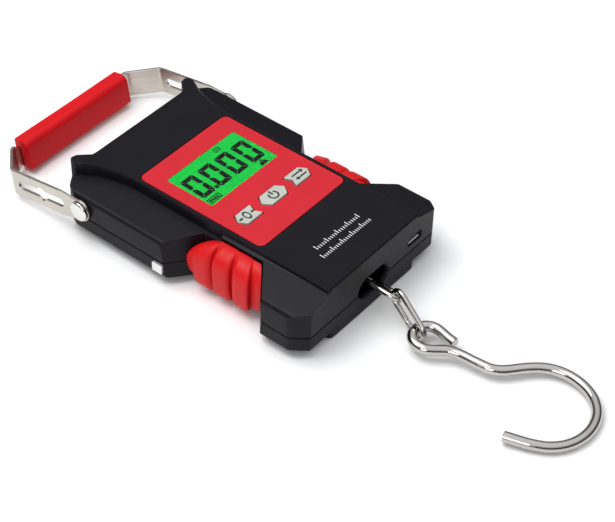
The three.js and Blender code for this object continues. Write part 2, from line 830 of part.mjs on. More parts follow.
// Hook wire: eye, shank and round bend, in a plane that slopes from the raised eye to the floor.
// The eye is a teardrop whose cut end comes back beside the shank; bend lists angles round the
// loop's middle and what is added to its radius there.
function hook() {
  const slope = Math.atan2(eyeNear.z - WIRE.hook, 74);
  const forward = new THREE.Vector3(0, -Math.cos(slope), -Math.sin(slope));
  const across = new THREE.Vector3(1, 0, 0);
  const place = (x, s) => eyeNear.clone().addScaledVector(forward, s).addScaledVector(across, x);
  const polar = (cx, cs, r, degrees) => {
    const a = THREE.MathUtils.degToRad(degrees);
    return place(cx + r * Math.sin(a), cs - r * Math.cos(a));
  };
  const turn = THREE.MathUtils.degToRad(HOOK.eyeTurn);
  const eyeX = -HOOK.eyeRadius * Math.sin(turn);
  const eyeReach = HOOK.eyeRadius * Math.cos(turn);
  const points = [place(2.7, 14.9), place(3.2, 11), place(3.85, 8)];
  for (let angle = 90; angle >= -90; angle -= 20) {
    points.push(polar(eyeX, eyeReach, HOOK.eyeRadius, angle));
  }
  const shank = [
    [-7, 8.1], [-5.6, 10.3], [-3.9, 12.3], [-2.1, 14.6], [-1.1, 17], [-0.5, 19.8],
    [0, 24.7], [0.5, 28.4], [0.95, 31], [2, 33.3], [4, 35.8],
  ];
  shank.forEach(([x, s]) => points.push(place(x, s)));
  const bend = [
    [26, 0.1], [40, -0.5], [56, -0.5], [72, -0.35], [90, -0.25], [110, 0], [130, 0.4],
    [150, 0.5], [170, 0.3], [190, 0.15], [210, 0.1], [230, 0], [250, 0], [265, 0.7], [278.5, 2.5],
  ];
  bend.forEach(([angle, extra]) => {
    points.push(polar(HOOK.loopX, HOOK.loopReach, HOOK.loopRadius + extra, angle));
  });
  const curve = new THREE.CatmullRomCurve3(points, false, 'centripetal');
  return wire(curve, WIRE.hook, 84, 5);
}

// ---------------------------------------------------------------- tape measure

function tapeReel() {
  const { reelX: x, reelY: y } = TAPE;
  const hub = toManifold(post(x, y, TAPE.zLow, TAPE.zHigh + 1, 6, 32));
  const flange = toManifold(post(x, y, TAPE.zHigh + 0.35, TAPE.zHigh + 1.2, 13.4, 40));
  const cup = toManifold(post(x, y, TAPE.zHigh + 1, TAPE.zHigh + 3, 3.2, 28));
  return union([hub, flange, cup]).subtract(toManifold(post(x, y, 0, 30, 2.1, 24)));
}

function tapeCoil() {
  const { reelX: x, reelY: y } = TAPE;
  const outer = toManifold(post(x, y, TAPE.zLow, TAPE.zHigh, TAPE.coilRadius, 48));
  return outer.subtract(toManifold(post(x, y, 0, 30, 6.3, 40)));
}

function tapeLeader() {
  return box(-40.8, -8.5, TAPE.lineY - 0.15, TAPE.lineY + 0.15, TAPE.zLow, TAPE.zHigh);
}

function tapeTab() {
  const plate = toManifold(prismX(roundedRect(TAPE.lineY, 7.3, 4.8, 4.2, 0.4), -43, -42));
  const stem = toManifold(box(-42.2, -41.1, TAPE.lineY - 1.2, TAPE.lineY + 1.2, 5.6, 9));
  return plate.add(stem);
}

// Flat spiral spring above the reel flange, drawn as one ribbon.
function returnSpring() {
  const turns = 3.5;
  const inner = 3.7;
  const pitch = 1.5;
  const steps = 84;
  const half = 0.22;
  const side = (offset) => {
    const list = [];
    for (let i = 0; i <= steps; i += 1) {
      const angle = 2 * Math.PI * turns * i / steps;
      const r = inner + pitch * turns * i / steps + offset;
      list.push([TAPE.reelX + r * Math.cos(angle), TAPE.reelY + r * Math.sin(angle)]);
    }
    return list;
  };
  const ribbon = side(half).concat(side(-half).reverse());
  return prism(counterClockwise(ribbon), TAPE.zHigh + 1.5, TAPE.zHigh + 4);
}

function reelSpindle() {
  return turned([[0, 5.1], [1.8, 5.1], [1.8, 14.6], [2.9, 14.6], [2.9, 15.4], [0, 15.4]], 24)
    .translate(TAPE.reelX, TAPE.reelY, 0);
}

// ---------------------------------------------------------------- assembly

add('front_housing', frontHousing(), COLOUR.black, 0.5, 0);
add('rear_housing', rearHousing(), COLOUR.softBlack, 0.55, 0);
add('face_panel', facePanel(), COLOUR.panelRed, 0.35, 0);
add('display_window', displayWindow(), 0xdff5e4, 0.05, 0);
add('lcd_glass', lcdGlass(), COLOUR.lcdGreen, 0.3, 0);
add('backlight_panel', box(-20.5, 20.5, -2.7, 22.5, 20.6, 23.6), 0xd8ffe0, 0.4, 0);

const KEY_NAMES = { '-1': 'tare', 0: 'power', 1: 'unit' };
for (const index of [-1, 0, 1]) {
  const label = KEY_NAMES[index];
  add(`${label}_key`, keyCap(index), COLOUR.key, 0.5, 0);
  add(`${label}_switch`, tactSwitch(index), 0x33353a, 0.4, 0.2);
}

add('main_board', mainBoard(), COLOUR.board, 0.45, 0);
add('board_screw_right', boardScrew(1), COLOUR.steel, 0.3, 0.9);
add('board_screw_left', boardScrew(-1), COLOUR.steel, 0.3, 0.9);
add('charge_board', chargeBoard(), COLOUR.board, 0.45, 0);
add('usb_socket', usbSocket(), COLOUR.chrome, 0.25, 0.9);
add('battery_cell', box(10.6, 37, 8, 37.6, 5.3, 11), COLOUR.cell, 0.5, 0.1);

add('load_cell_beam', loadCell(), COLOUR.aluminium, 0.35, 0.9);
add('load_cell_bolt_front', loadCellBolt(LOAD_CELL.boltYs[1]), COLOUR.steel, 0.3, 0.9);
add('load_cell_bolt_rear', loadCellBolt(LOAD_CELL.boltYs[0]), COLOUR.steel, 0.3, 0.9);
add('anchor_eye', anchorEye(), COLOUR.chrome, 0.2, 1);
add('chain_link_upper', chainLink(link1Start, link1Axes), COLOUR.chrome, 0.15, 1);
add('chain_link_lower', chainLink(link2Start, link2Axes), COLOUR.chrome, 0.15, 1);
add('hook', hook(), COLOUR.chrome, 0.15, 1);

add('side_grip_right', sideGrip(1), COLOUR.gripRed, 0.6, 0);
add('side_grip_left', sideGrip(-1), COLOUR.gripRed, 0.6, 0);

add('bow_strip', bowStrip(), COLOUR.steel, 0.3, 1);
add('bow_grip', bowGrip(), COLOUR.handleRed, 0.55, 0);
add('pivot_rivet_right', pivotRivet(1), COLOUR.chrome, 0.2, 1);
add('pivot_rivet_left', pivotRivet(-1), COLOUR.chrome, 0.2, 1);

add('tape_reel', tapeReel(), 0x3a3a40, 0.5, 0);
add('tape_coil', tapeCoil(), COLOUR.tape, 0.5, 0);
add('tape_leader', tapeLeader(), COLOUR.tape, 0.4, 0);
add('tape_tab', tapeTab(), COLOUR.chrome, 0.25, 1);
add('return_spring', returnSpring(), COLOUR.steel, 0.3, 1);
add('reel_spindle', reelSpindle(), COLOUR.steel, 0.3, 1);

const SCREW_NAMES = ['upper_right', 'upper_left', 'lower_right', 'lower_left'];
BOSSES.forEach(([x, y], i) => {
  add(`housing_screw_${SCREW_NAMES[i]}`, housingScrew(x, y), COLOUR.steel, 0.3, 0.9);
});

export default group;
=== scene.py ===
import math
from math import cos, pi, radians, sin

import bmesh
import bpy
from mathutils import Matrix, Vector


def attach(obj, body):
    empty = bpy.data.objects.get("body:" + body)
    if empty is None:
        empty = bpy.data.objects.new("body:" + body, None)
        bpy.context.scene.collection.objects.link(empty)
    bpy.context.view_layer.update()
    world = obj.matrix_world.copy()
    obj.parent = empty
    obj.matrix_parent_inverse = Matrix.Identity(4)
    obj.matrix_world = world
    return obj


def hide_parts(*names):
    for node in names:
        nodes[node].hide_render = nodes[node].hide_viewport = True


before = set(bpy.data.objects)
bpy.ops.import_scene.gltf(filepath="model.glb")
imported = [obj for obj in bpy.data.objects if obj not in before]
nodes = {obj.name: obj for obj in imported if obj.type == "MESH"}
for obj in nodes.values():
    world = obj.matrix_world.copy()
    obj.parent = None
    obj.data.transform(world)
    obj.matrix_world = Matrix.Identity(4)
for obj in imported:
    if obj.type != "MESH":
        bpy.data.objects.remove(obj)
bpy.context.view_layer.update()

# Lengths are in millimetres, apart from the camera's, the floor's and the lights', in metres.
# The object lies on its back: X runs across it, Y towards the handle and Z up from the floor.
MM = 0.001
scene = bpy.context.scene

# ---------------------------------------------------------------- camera

CAMERA_PLACE = (-0.3967, -0.3395, 0.4723)
CAMERA_RIGHT = Vector((0.6298, -0.7765, 0.0176))
CAMERA_UP = Vector((0.5227, 0.4404, 0.7300))


def make_camera():
    right = CAMERA_RIGHT.normalized()
    back = right.cross(CAMERA_UP).normalized()
    up = back.cross(right)
    data = bpy.data.cameras.new("camera")
    data.sensor_width = 36
    data.lens = 105.5
    data.shift_x = 0.0132
    data.shift_y = 0.0007
    data.clip_start = 0.01
    data.clip_end = 20
    camera = bpy.data.objects.new("camera", data)
    scene.collection.objects.link(camera)
    rows = [[right[i], up[i], back[i], CAMERA_PLACE[i]] for i in range(3)]
    camera.matrix_world = Matrix(rows + [[0, 0, 0, 1]])
    bpy.context.scene.camera = camera


make_camera()

# ---------------------------------------------------------------- mesh helpers

MERGE = 0.002


def link(name, mesh):
    """A new object in the scene, for a mesh or a curve."""
    obj = bpy.data.objects.new(name, mesh)
    scene.collection.objects.link(obj)
    return obj


def from_data(name, verts, faces):
    """A new object from points in millimetres, with its faces turned outwards."""
    mesh = bpy.data.meshes.new(name)
    mesh.from_pydata([Vector(v) * MM for v in verts], [], faces)
    mesh.update()
    bm = bmesh.new()
    bm.from_mesh(mesh)
    bmesh.ops.recalc_face_normals(bm, faces=bm.faces)
    bm.to_mesh(mesh)
    bm.free()
    return link(name, mesh)


def bake(obj):
    """Turns the object's modifiers into its mesh."""
    graph = bpy.context.evaluated_depsgraph_get()
    mesh = bpy.data.meshes.new_from_object(obj.evaluated_get(graph))
    obj.modifiers.clear()
    old = obj.data
    obj.data = mesh
    bpy.data.meshes.remove(old)
    return obj


def smooth(obj, degrees):
    """Smooth shading that keeps every edge sharper than an angle."""
    mesh = obj.data
    mesh.shade_smooth()
    mesh.set_sharp_from_angle(angle=radians(degrees))
    mod = obj.modifiers.new("normals", "WEIGHTED_NORMAL")
    mod.keep_sharp = True
    return bake(obj)


def boolean(obj, tool, operation="DIFFERENCE"):
    """Cuts or joins obj with tool, and removes the tool."""
    mod = obj.modifiers.new("boolean", "BOOLEAN")
    mod.operation = operation
    mod.object = tool
    mod.solver = "MANIFOLD"
    bake(obj)
    mesh = tool.data
    bpy.data.objects.remove(tool)
    bpy.data.meshes.remove(mesh)


def add_bevel(obj, width, segments, degrees):
    """Adds a modifier that rounds every edge sharper than an angle."""
    mod = obj.modifiers.new("bevel", "BEVEL")
    mod.width = width * MM
    mod.segments = segments
    mod.limit_method = "ANGLE"
    mod.angle_limit = radians(degrees)
    mod.miter_outer = "MITER_ARC"


def weld(obj, distance=MERGE):
    bm = bmesh.new()
    bm.from_mesh(obj.data)
    bmesh.ops.remove_doubles(bm, verts=bm.verts, dist=distance * MM)
    bm.to_mesh(obj.data)
    bm.free()
    return obj


def flatten(obj):
    """Joins the faces that lie within half a degree of one plane."""
    bm = bmesh.new()
    bm.from_mesh(obj.data)
    bmesh.ops.remove_doubles(bm, verts=bm.verts, dist=MERGE * MM)
    bmesh.ops.dissolve_limit(bm, angle_limit=radians(0.5), verts=bm.verts, edges=bm.edges)
    bm.to_mesh(obj.data)
    bm.free()


def cad_copy(node, name):
    """A new piece with the shape of a CAD node."""
    obj = link(name, nodes[node].data.copy())
    obj.data.materials.clear()
    return weld(obj)


# ---------------------------------------------------------------- outlines


def mirrored(half):
    return half + [(-x, y) for x, y in reversed(half)]


def rounded(points, radius, steps):
    """Rounds the corners of an outline. radius is one number or one for each corner.

    A corner that hardly turns stays as it is, and an arc takes less than half of a side.
    """
    nearly_straight, most_of_side = radians(88), 0.48
    out = []
    count = len(points)
    for i, point in enumerate(points):
        r = radius[i] if isinstance(radius, (list, tuple)) else radius
        here = Vector(point)
        a = Vector(points[i - 1]) - here
        b = Vector(points[(i + 1) % count]) - here
        la, lb = a.length, b.length
        a.normalize()
        b.normalize()
        half = a.angle(b) / 2
        if r <= 0 or half > nearly_straight:
            out.append(tuple(here))
            continue
        reach = min(r / math.tan(half), most_of_side * la, most_of_side * lb)
        r = reach * math.tan(half)
        centre = here + (a + b).normalized() * (r / sin(half))
        p0 = here + a * reach - centre
        p1 = here + b * reach - centre
        turn = p0.angle_signed(p1)
        n = max(1, math.ceil(steps * abs(turn) / (pi / 2)))
        for k in range(n + 1):
            q = p0.copy()
            q.rotate(Matrix.Rotation(-turn * k / n, 2))
            out.append(tuple(centre + q))
    return out


def outline_of(corners, steps):
    """Closed outline from its corners, each (x, y, radius)."""
    return rounded([(x, y) for x, y, _ in corners], [r for _, _, r in corners], steps)


def symmetric(half, steps):
    """Closed outline from the corners of its right half, each (x, y, radius)."""
    return outline_of(half + [(-x, y, r) for x, y, r in reversed(half)], steps)


def area(points):
    total = 0
    for (x, y), (nx, ny) in zip(points, points[1:] + points[:1]):
        total += x * ny - nx * y
    return total / 2


def inset(points, d):
    """Moves every side of a counter-clockwise outline inwards by d, and a sharp corner by less."""
    if area(points) < 0:
        points = points[::-1]
    least = 0.3
    out = []
    count = len(points)
    for i in range(count):
        p = Vector(points[i])
        a = (p - Vector(points[i - 1])).normalized()
        b = (Vector(points[(i + 1) % count]) - p).normalized()
        n = Vector((-a.y - b.y, a.x + b.x)).normalized()
        scale = d / max(least, n.x * -a.y + n.y * a.x)
        out.append((p.x + n.x * scale, p.y + n.y * scale))
    return out


def loft(name, rings):
    """Closed solid through rings that all have the same number of points."""
    count = len(rings[0])
    last = (len(rings) - 1) * count
    faces = []
    for start in range(0, last, count):
        for i in range(count):
            a, b = start + i, start + (i + 1) % count
            faces.append((a, b, b + count, a + count))
    faces += [tuple(reversed(range(count))), tuple(range(last, last + count))]
    return from_data(name, [point for ring in rings for point in ring], faces)


def stack(name, outline, levels, place=None):
    """Closed solid through copies of an outline, each inset by d at height z: levels are (d, z)."""
    if area(outline) < 0:
        outline = outline[::-1]
    rings = []
    for d, z in levels:
        ring = [(x, y, z) for x, y in (inset(outline, d) if d else outline)]
        rings.append([place(*point) for point in ring] if place else ring)
    return loft(name, rings)


def round_edge(z, r, sign=1):
    """Levels that round an outline's end at height z; sign 1 rounds a top, -1 a bottom."""
    out = []
    for k in range(5):
        a = pi / 8 * k
        out.append((r * (1 - cos(a)), z - sign * r * (1 - sin(a))))
    return out if sign > 0 else out[::-1]


def along_y(x, y, z):
    return (x, -z, y)


def along_x(x, y, z):
    return (z, x, y)


def rect(cx, cy, w, h):
    x, y = w / 2, h / 2
    return [(cx - x, cy - y), (cx + x, cy - y), (cx + x, cy + y), (cx - x, cy + y)]


def rounded_rect(cx, cy, w, h, r, steps):
    return rounded(rect(cx, cy, w, h), r, steps)


# ---------------------------------------------------------------- housing

FACE_Z = 26.6
PARTING_Z = 10.4
PARTING_GAP = 0.15
PARTING_CHAMFER = 0.22, 0.25
HOOK_END = -63.6
PLATE_X = 27.1
HALF_WIDTH = 42.2
OUTSIDE = 60

# The visual shells lie this far inside the CAD ones.
SKIN = 0.02

FLANK = symmetric([
    (37.4, HOOK_END, 2), (HALF_WIDTH, -57.4, 4), (HALF_WIDTH, 48.6, 3), (40.2, 52.8, 3),
    (36, 55.6, 3), (30.5, 56, 3), (26.4, 53.2, 2),
], 8)
PLATE = symmetric([
    (PLATE_X, HOOK_END, 0.5), (PLATE_X, 30, 0), (27.5, 34.5, 0), (28.2, 39.5, 0), (30.4, 48, 0),
    (33, 52.6, 0), (34.4, 55.4, 2), (34.2, 57.6, 1.2), (32.7, 58.9, 1.1), (30.4, 58.4, 1),
    (28.4, 56.4, 3), (26, 53.9, 3), (23.6, 53.7, 1),
], 8)
SLAB = rounded(mirrored([(25.6, HOOK_END), (25.6, 49.5), (23, 53.2)]), [1.2, 2.5, 2.5] * 2, 6)

# Stretches of a flank's top: from y, to y, height beside the plate, height at the outside.
FLANK_TOPS = ((-14, 70, 22, 20), (-70, -14, 24.9, 21))

NOTCH_X = 28.6
NOTCH_SLANT = 0.78


def notch_ends(x, z):
    """Y of the hook end and of the handle end of a grip's notch, at x from the middle and z up."""
    spread = NOTCH_SLANT * (x - NOTCH_X)
    rise = z - 20
    return -34 - spread - 0.042 * rise, -6 + spread + 0.14 * rise


def notch_tool(side):
    """Wedge that cuts the notch for a side grip; it is wider at the top and at the outside."""
    def ring(z):
        inner = NOTCH_X - SKIN
        spread = NOTCH_SLANT * (OUTSIDE - inner)
        y0, y1 = notch_ends(NOTCH_X, z)
        y0 -= 0.8 * SKIN
        y1 += 0.8 * SKIN
        corners = [(inner, y0, 1.2), (OUTSIDE, y0 - spread, 0), (OUTSIDE, y1 + spread, 0),
                   (inner, y1, 1.2)]
        return [(side * x, y, z) for x, y in outline_of(corners, 4)]

    return loft("tool", [ring(-5), ring(40)])


def flank_top_tool(side, y0, y1, crease, ridge):
    """Everything above the sloping top of a flank, with a rounded shoulder."""
    under = 1.5
    shoulder = ridge - 1.2
    top = 45
    slope = (crease - ridge) / (HALF_WIDTH - PLATE_X)
    profile = outline_of([
        (PLATE_X - under, crease + slope * under, 0), (HALF_WIDTH - 1, ridge + slope, 2.4),
        (HALF_WIDTH, shoulder, 2), (OUTSIDE, shoulder, 0), (OUTSIDE, top, 0),
        (PLATE_X - under, top, 0),
    ], 6)
    return stack("tool", [(side * x, z) for x, z in profile], [(0, -y1), (0, -y0)], along_y)


def hook_hole_tool():
    """Cuts the hole for the chain, which flares at its mouth."""
    hole = rounded_rect(0, 11.2, 17, 9.2, 4.5, 8)
    flare = [(-0.05, 56), (-0.05, 62.2), (-0.25, 63), (-1.1, 63.65), (-1.4, 66)]
    return stack("tool", hole, flare, along_y)


def port_tool():
    """Cuts the charging cut-out, with a softened edge."""
    port = rounded_rect(25.2, 15.8, 8.4, 3.4, 1, 6)
    return stack("tool", port, [(-0.05, 57), (-0.05, 63.2), (-0.5, 63.7)], along_y)


def recess_tool():
    """Cuts the recess that the face panel lies in, with a softened rim."""
    recess = rounded_rect(0, 0, 50.6, 61.4, 2.9, 8)
    rim = [(0.35, FACE_Z - 1), (0.15, FACE_Z - 0.3), (-0.25, FACE_Z + 0.1)]
    return stack("tool", recess, rim)


def front_envelope():
    """The front shell's outer shape, with rounded edges."""
    z0 = PARTING_Z + PARTING_GAP + SKIN
    inwards, upwards = PARTING_CHAMFER
    levels = [(SKIN + inwards, z0), (SKIN, z0 + upwards), (SKIN, 27)]
    env = stack("front_housing_shell", FLANK, levels)
    for side in (1, -1):
        for stretch in FLANK_TOPS:
            boolean(env, flank_top_tool(side, *stretch))
        boolean(env, notch_tool(side))
    # Clear the middle, which the raised plate then fills.
    boolean(env, stack("tool", rect(0, 0, 50, 200), [(0, 15), (0, 40)]))
    flatten(env)
    add_bevel(env, 0.55, 3, 28)
    bake(env)
    levels = [(SKIN, 11)] + [(d + SKIN, z - SKIN) for d, z in round_edge(FACE_Z, 0.45)]
    boolean(env, stack("tool", PLATE, levels), "UNION")
    return env


def rear_envelope():
    """The rear shell's outer shape, with rounded edges."""
    z1 = PARTING_Z - PARTING_GAP - SKIN
    levels = [(d + SKIN, z + SKIN) for d, z in round_edge(3.4, 1.3, -1)]
    inwards, downwards = PARTING_CHAMFER
    levels += [(SKIN, z1 - downwards), (SKIN + inwards, z1)]
    env = stack("rear_housing_shell", FLANK, levels)
    for side in (1, -1):
        boolean(env, notch_tool(side))
    flatten(env)
    add_bevel(env, 0.35, 2, 40)
    bake(env)
    levels = [(d + SKIN, z + SKIN) for d, z in round_edge(0, 0.9, -1)] + [(SKIN, 8)]
    boolean(env, stack("tool", SLAB, levels), "UNION")
    return env


def shell(name, node, envelope, *tools):
    """The CAD shell, trimmed to an envelope with rounded edges."""
    for tool in tools:
        boolean(envelope, tool)
    obj = cad_copy(node, name)
    boolean(obj, envelope, "INTERSECT")
    weld(obj, 0.004)
    return smooth(obj, 30)


def front_housing():
    return shell("front_housing_solid", "front_housing", front_envelope(), recess_tool(),
                 hook_hole_tool(), port_tool())


def rear_housing():
    return shell("rear_housing_solid", "rear_housing", rear_envelope(), hook_hole_tool())


# ---------------------------------------------------------------- side grips

GRIP_GAP = 0.45


def side_grip(side):
    """Soft pad with three ribs that swell towards the hook end and step back in."""
    # As shares of the pad's length: where the first rib starts, and the pitch. As shares of the
    # pitch: where a rib has risen, where its crest ends and where its foot is.
    ribs, first, pitch, rise, crest, foot = 3, 0.138, 0.247, 0.2, 0.74, 0.94
    centre_x, centre_z, step_z = 32, 13.7, 8
    inner_x, top_z, bottom_z = 29.2, 23.3, 3.4
    # Section from top to bottom: x, z and the share of a rib's swell that the point takes.
    section = [
        (inner_x, top_z, 0.1), (31, 22.9, 0.4), (32.8, 21.7, 0.8), (34.2, 19.9, 1),
        (35.1, 17.4, 1), (35.5, 14, 1), (35.5, 10.5, 1), (35.3, 7.6, 1), (34.8, 5.7, 1),
        (33.7, 4.3, 0.9), (32, 3.6, 0.5), (inner_x, bottom_z, 0),
    ]
    profile = [tuple(p) for p in catmull([Vector(corner) for corner in section], 44)]
    back = [(inner_x, bottom_z + (top_z - bottom_z) * k / 8, 0) for k in range(1, 8)]
    points = profile + back

    def rib(u):
        part = (u - first) / pitch
        if part <= 0 or part >= ribs:
            return 0
        part %= 1
        if part < rise:
            return sin(pi / 2 * part / rise) ** 0.8
        if part < crest:
            return 1
        return math.sqrt(max(0, 1 - ((part - crest) / (foot - crest)) ** 2))

    def height(u):
        """Share of its full height that the pad has: it is lowest at the handle end."""
        return 0.58 + 0.42 * min(1, u / 0.34) ** 0.55

    ring_at = [0, 0.008, 0.02, 0.045, 0.07, 0.1, 0.125]
    for number in range(ribs):
        across = [0, 0.01, 0.03, 0.06, 0.1, 0.15, rise, 0.3, 0.4, 0.5, 0.6, 0.68, crest]
        across += [crest + (foot - crest) * sin(pi / 2 * k / 7) for k in range(1, 8)]
        ring_at += [first + pitch * (number + t) for t in across + [0.97]]
    ring_at += [0.9, 0.93, 0.96, 0.98, 0.993, 1]
    shrink = {0: 0.06, 1: 0.018, 2: 0.004}
    rings = []
    for number, u in enumerate(ring_at):
        edge = min(number, len(ring_at) - 1 - number)
        scale = 1 - shrink.get(edge, 0)
        swell, tall = 2.4 * rib(u), height(u)
        ring = []
        for k, (x, z, weight) in enumerate(points):
            x = centre_x + (x - centre_x) * scale
            z = centre_z + (z - centre_z) * scale
            before, after = points[k - 1], points[(k + 1) % len(points)]
            run = Vector((after[0] - before[0], after[1] - before[1])).normalized()
            x += -run.y * swell * weight
            z += run.x * swell * weight * (0.95 if z < 12 else 0.6)
            z = step_z + (z - step_z) * tall if z > step_z else z
            hook_side, handle_side = notch_ends(x, z)
            start, end = handle_side - GRIP_GAP, hook_side + GRIP_GAP
            ring.append((side * x, start + (end - start) * u, z))
        rings.append(ring)
    return smooth(loft("side_grip", rings), 50)


# ---------------------------------------------------------------- curves and wires


def catmull(points, count):
    """Centripetal Catmull-Rom curve through points, sampled at even lengths."""
    dense = []
    for i in range(len(points) - 1):
        p1, p2 = points[i], points[i + 1]
        p0 = points[i - 1] if i > 0 else p1 * 2 - p2
        p3 = points[i + 2] if i < len(points) - 2 else p2 * 2 - p1
        t = [0.0]
        for a, b in ((p0, p1), (p1, p2), (p2, p3)):
            t.append(t[-1] + max(1e-6, (b - a).length ** 0.5))
        for k in range(24):
            x = t[1] + (t[2] - t[1]) * k / 24
            a1 = p0 * ((t[1] - x) / (t[1] - t[0])) + p1 * ((x - t[0]) / (t[1] - t[0]))
            a2 = p1 * ((t[2] - x) / (t[2] - t[1])) + p2 * ((x - t[1]) / (t[2] - t[1]))
            a3 = p2 * ((t[3] - x) / (t[3] - t[2])) + p3 * ((x - t[2]) / (t[3] - t[2]))
            b1 = a1 * ((t[2] - x) / (t[2] - t[0])) + a2 * ((x - t[0]) / (t[2] - t[0]))
            b2 = a2 * ((t[3] - x) / (t[3] - t[1])) + a3 * ((x - t[1]) / (t[3] - t[1]))
            dense.append(b1 * ((t[2] - x) / (t[2] - t[1])) + b2 * ((x - t[1]) / (t[2] - t[1])))
    return even(dense + [points[-1].copy()], count)


def even(dense, count, closed=False):
    """Points at even lengths along a line of points."""
    loop = dense + [dense[0]] if closed else dense
    lengths = [0.0]
    for a, b in zip(loop, loop[1:]):
        lengths.append(lengths[-1] + (b - a).length)
    out, k = [], 0
    for i in range(count):
        want = lengths[-1] * i / (count if closed else count - 1)
        while k < len(lengths) - 2 and lengths[k + 1] < want:
            k += 1
        span = lengths[k + 1] - lengths[k] or 1
        out.append(loop[k].lerp(loop[k + 1], (want - lengths[k]) / span))
    return out


def tube(name, points, radius, sides, closed=False, waist=None, chamfer=0.0):
    """Round wire along points; waist maps a point's number to a factor on the radius there."""
    count = len(points)
    waist = waist or {}
    tangents = []
    for i in range(count):
        a = points[i - 1] if closed or i > 0 else points[0]
        b = points[(i + 1) % count] if closed or i < count - 1 else points[-1]
        tangents.append((b - a).normalized())
    normal = tangents[0].orthogonal().normalized()
    sections = []
    for i, (point, tangent) in enumerate(zip(points, tangents)):
        normal = (normal - tangent * normal.dot(tangent)).normalized()
        sections.append((point, normal.copy(), tangent.cross(normal), radius * waist.get(i, 1)))
    if not closed:
        for at, way in ((0, -1), (-1, 1)):
            centre, u, v, r = sections[at]
            end = (centre + tangents[at] * (way * chamfer), u, v, r - chamfer)
            sections.insert(0 if at == 0 else len(sections), end)
    angles = [2 * pi * k / sides for k in range(sides)]
    rings = [[centre + u * (r * cos(a)) + v * (r * sin(a)) for a in angles]
             for centre, u, v, r in sections]
    turn = 0
    if closed:
        first, last = rings[0], rings[-1]
        turn = min(range(sides), key=lambda s: (first[s] - last[0]).length)
    verts = [p for ring in rings for p in ring]
    faces = []
    for i in range(len(rings) if closed else len(rings) - 1):
        n = (i + 1) % len(rings)
        shift = turn if n == 0 else 0
        for k in range(sides):
            j = (k + 1) % sides
            faces.append((i * sides + k, i * sides + j, n * sides + (j + shift) % sides,
                          n * sides + (k + shift) % sides))
    if not closed:
        faces.append(tuple(range(sides)))
        start = (len(rings) - 1) * sides
        faces.append(tuple(range(start, start + sides)))
    return smooth(from_data(name, verts, faces), 35)


ANCHOR_Y, ANCHOR_Z, ANCHOR_RADIUS = -55, 11.2, 3.9
LINK_WIRE, HOOK_WIRE, EYE_WIRE = 1.15, 2.1, 1.3
LINK_LENGTH, LINK_WIDTH = 20.4, 7.5
EYE_RADIUS, EYE_TURN = 5.8, 16.2

# How each link lies: its droop, roll and yaw in degrees.
UPPER_LIE = (1.4, -37, 1.6)
LOWER_LIE = (27.5, 90.5, 16.2)
WIRE_GAP = 0.5


def link_axes(droop, roll, yaw):
    """Unit vectors along a link and across it."""
    d, r, y = radians(droop), radians(roll), radians(yaw)
    u = Vector((-sin(y) * cos(d), -cos(y) * cos(d), -sin(d)))
    w = Vector((cos(r), 0, sin(r)))
    return u, (w - u * w.dot(u)).normalized()


def stadium(start, u, w):
    """Middle line of a link that starts at a point and runs along u, with w across it."""
    end = LINK_WIDTH / 2
    angles = [pi * k / 24 for k in range(25)]
    far, near = LINK_LENGTH - end, end
    points = [start + u * (far + end * sin(a)) + w * (end * cos(a)) for a in angles]
    points += [start + u * (near - end * sin(a)) - w * (end * cos(a)) for a in angles]
    return points


def chain_layout():
    """Start and axes of both links, and where the hook's eye passes through the lower one."""
    u1, w1 = link_axes(*UPPER_LIE)
    u2, w2 = link_axes(*LOWER_LIE)
    tip = Vector((0, ANCHOR_Y - ANCHOR_RADIUS, ANCHOR_Z))
    start1 = tip - u1 * (EYE_WIRE + LINK_WIRE + WIRE_GAP)
    start2 = start1 + u1 * (LINK_LENGTH - WIRE_GAP) - u2 * (2 * LINK_WIRE + 0.4)
    start2 += w1 * -0.85 + u1.cross(w1) * 0.27
    eye = start2 + u2 * LINK_LENGTH - u2 * (LINK_WIRE + HOOK_WIRE + WIRE_GAP)
    return (start1, u1, w1), (start2, u2, w2), eye + Vector((0.8, 0.43, 0.4))


def chain_link(name, layout, seam=None):
    """Link of wire; seam is the point of its middle line where its two ends meet."""
    points = even(stadium(*layout), 120, closed=True)
    waist = {seam - 1: 0.97, seam: 0.8, seam + 1: 0.97} if seam else {}
    return tube(name, points, LINK_WIRE, 20, closed=True, waist=waist)


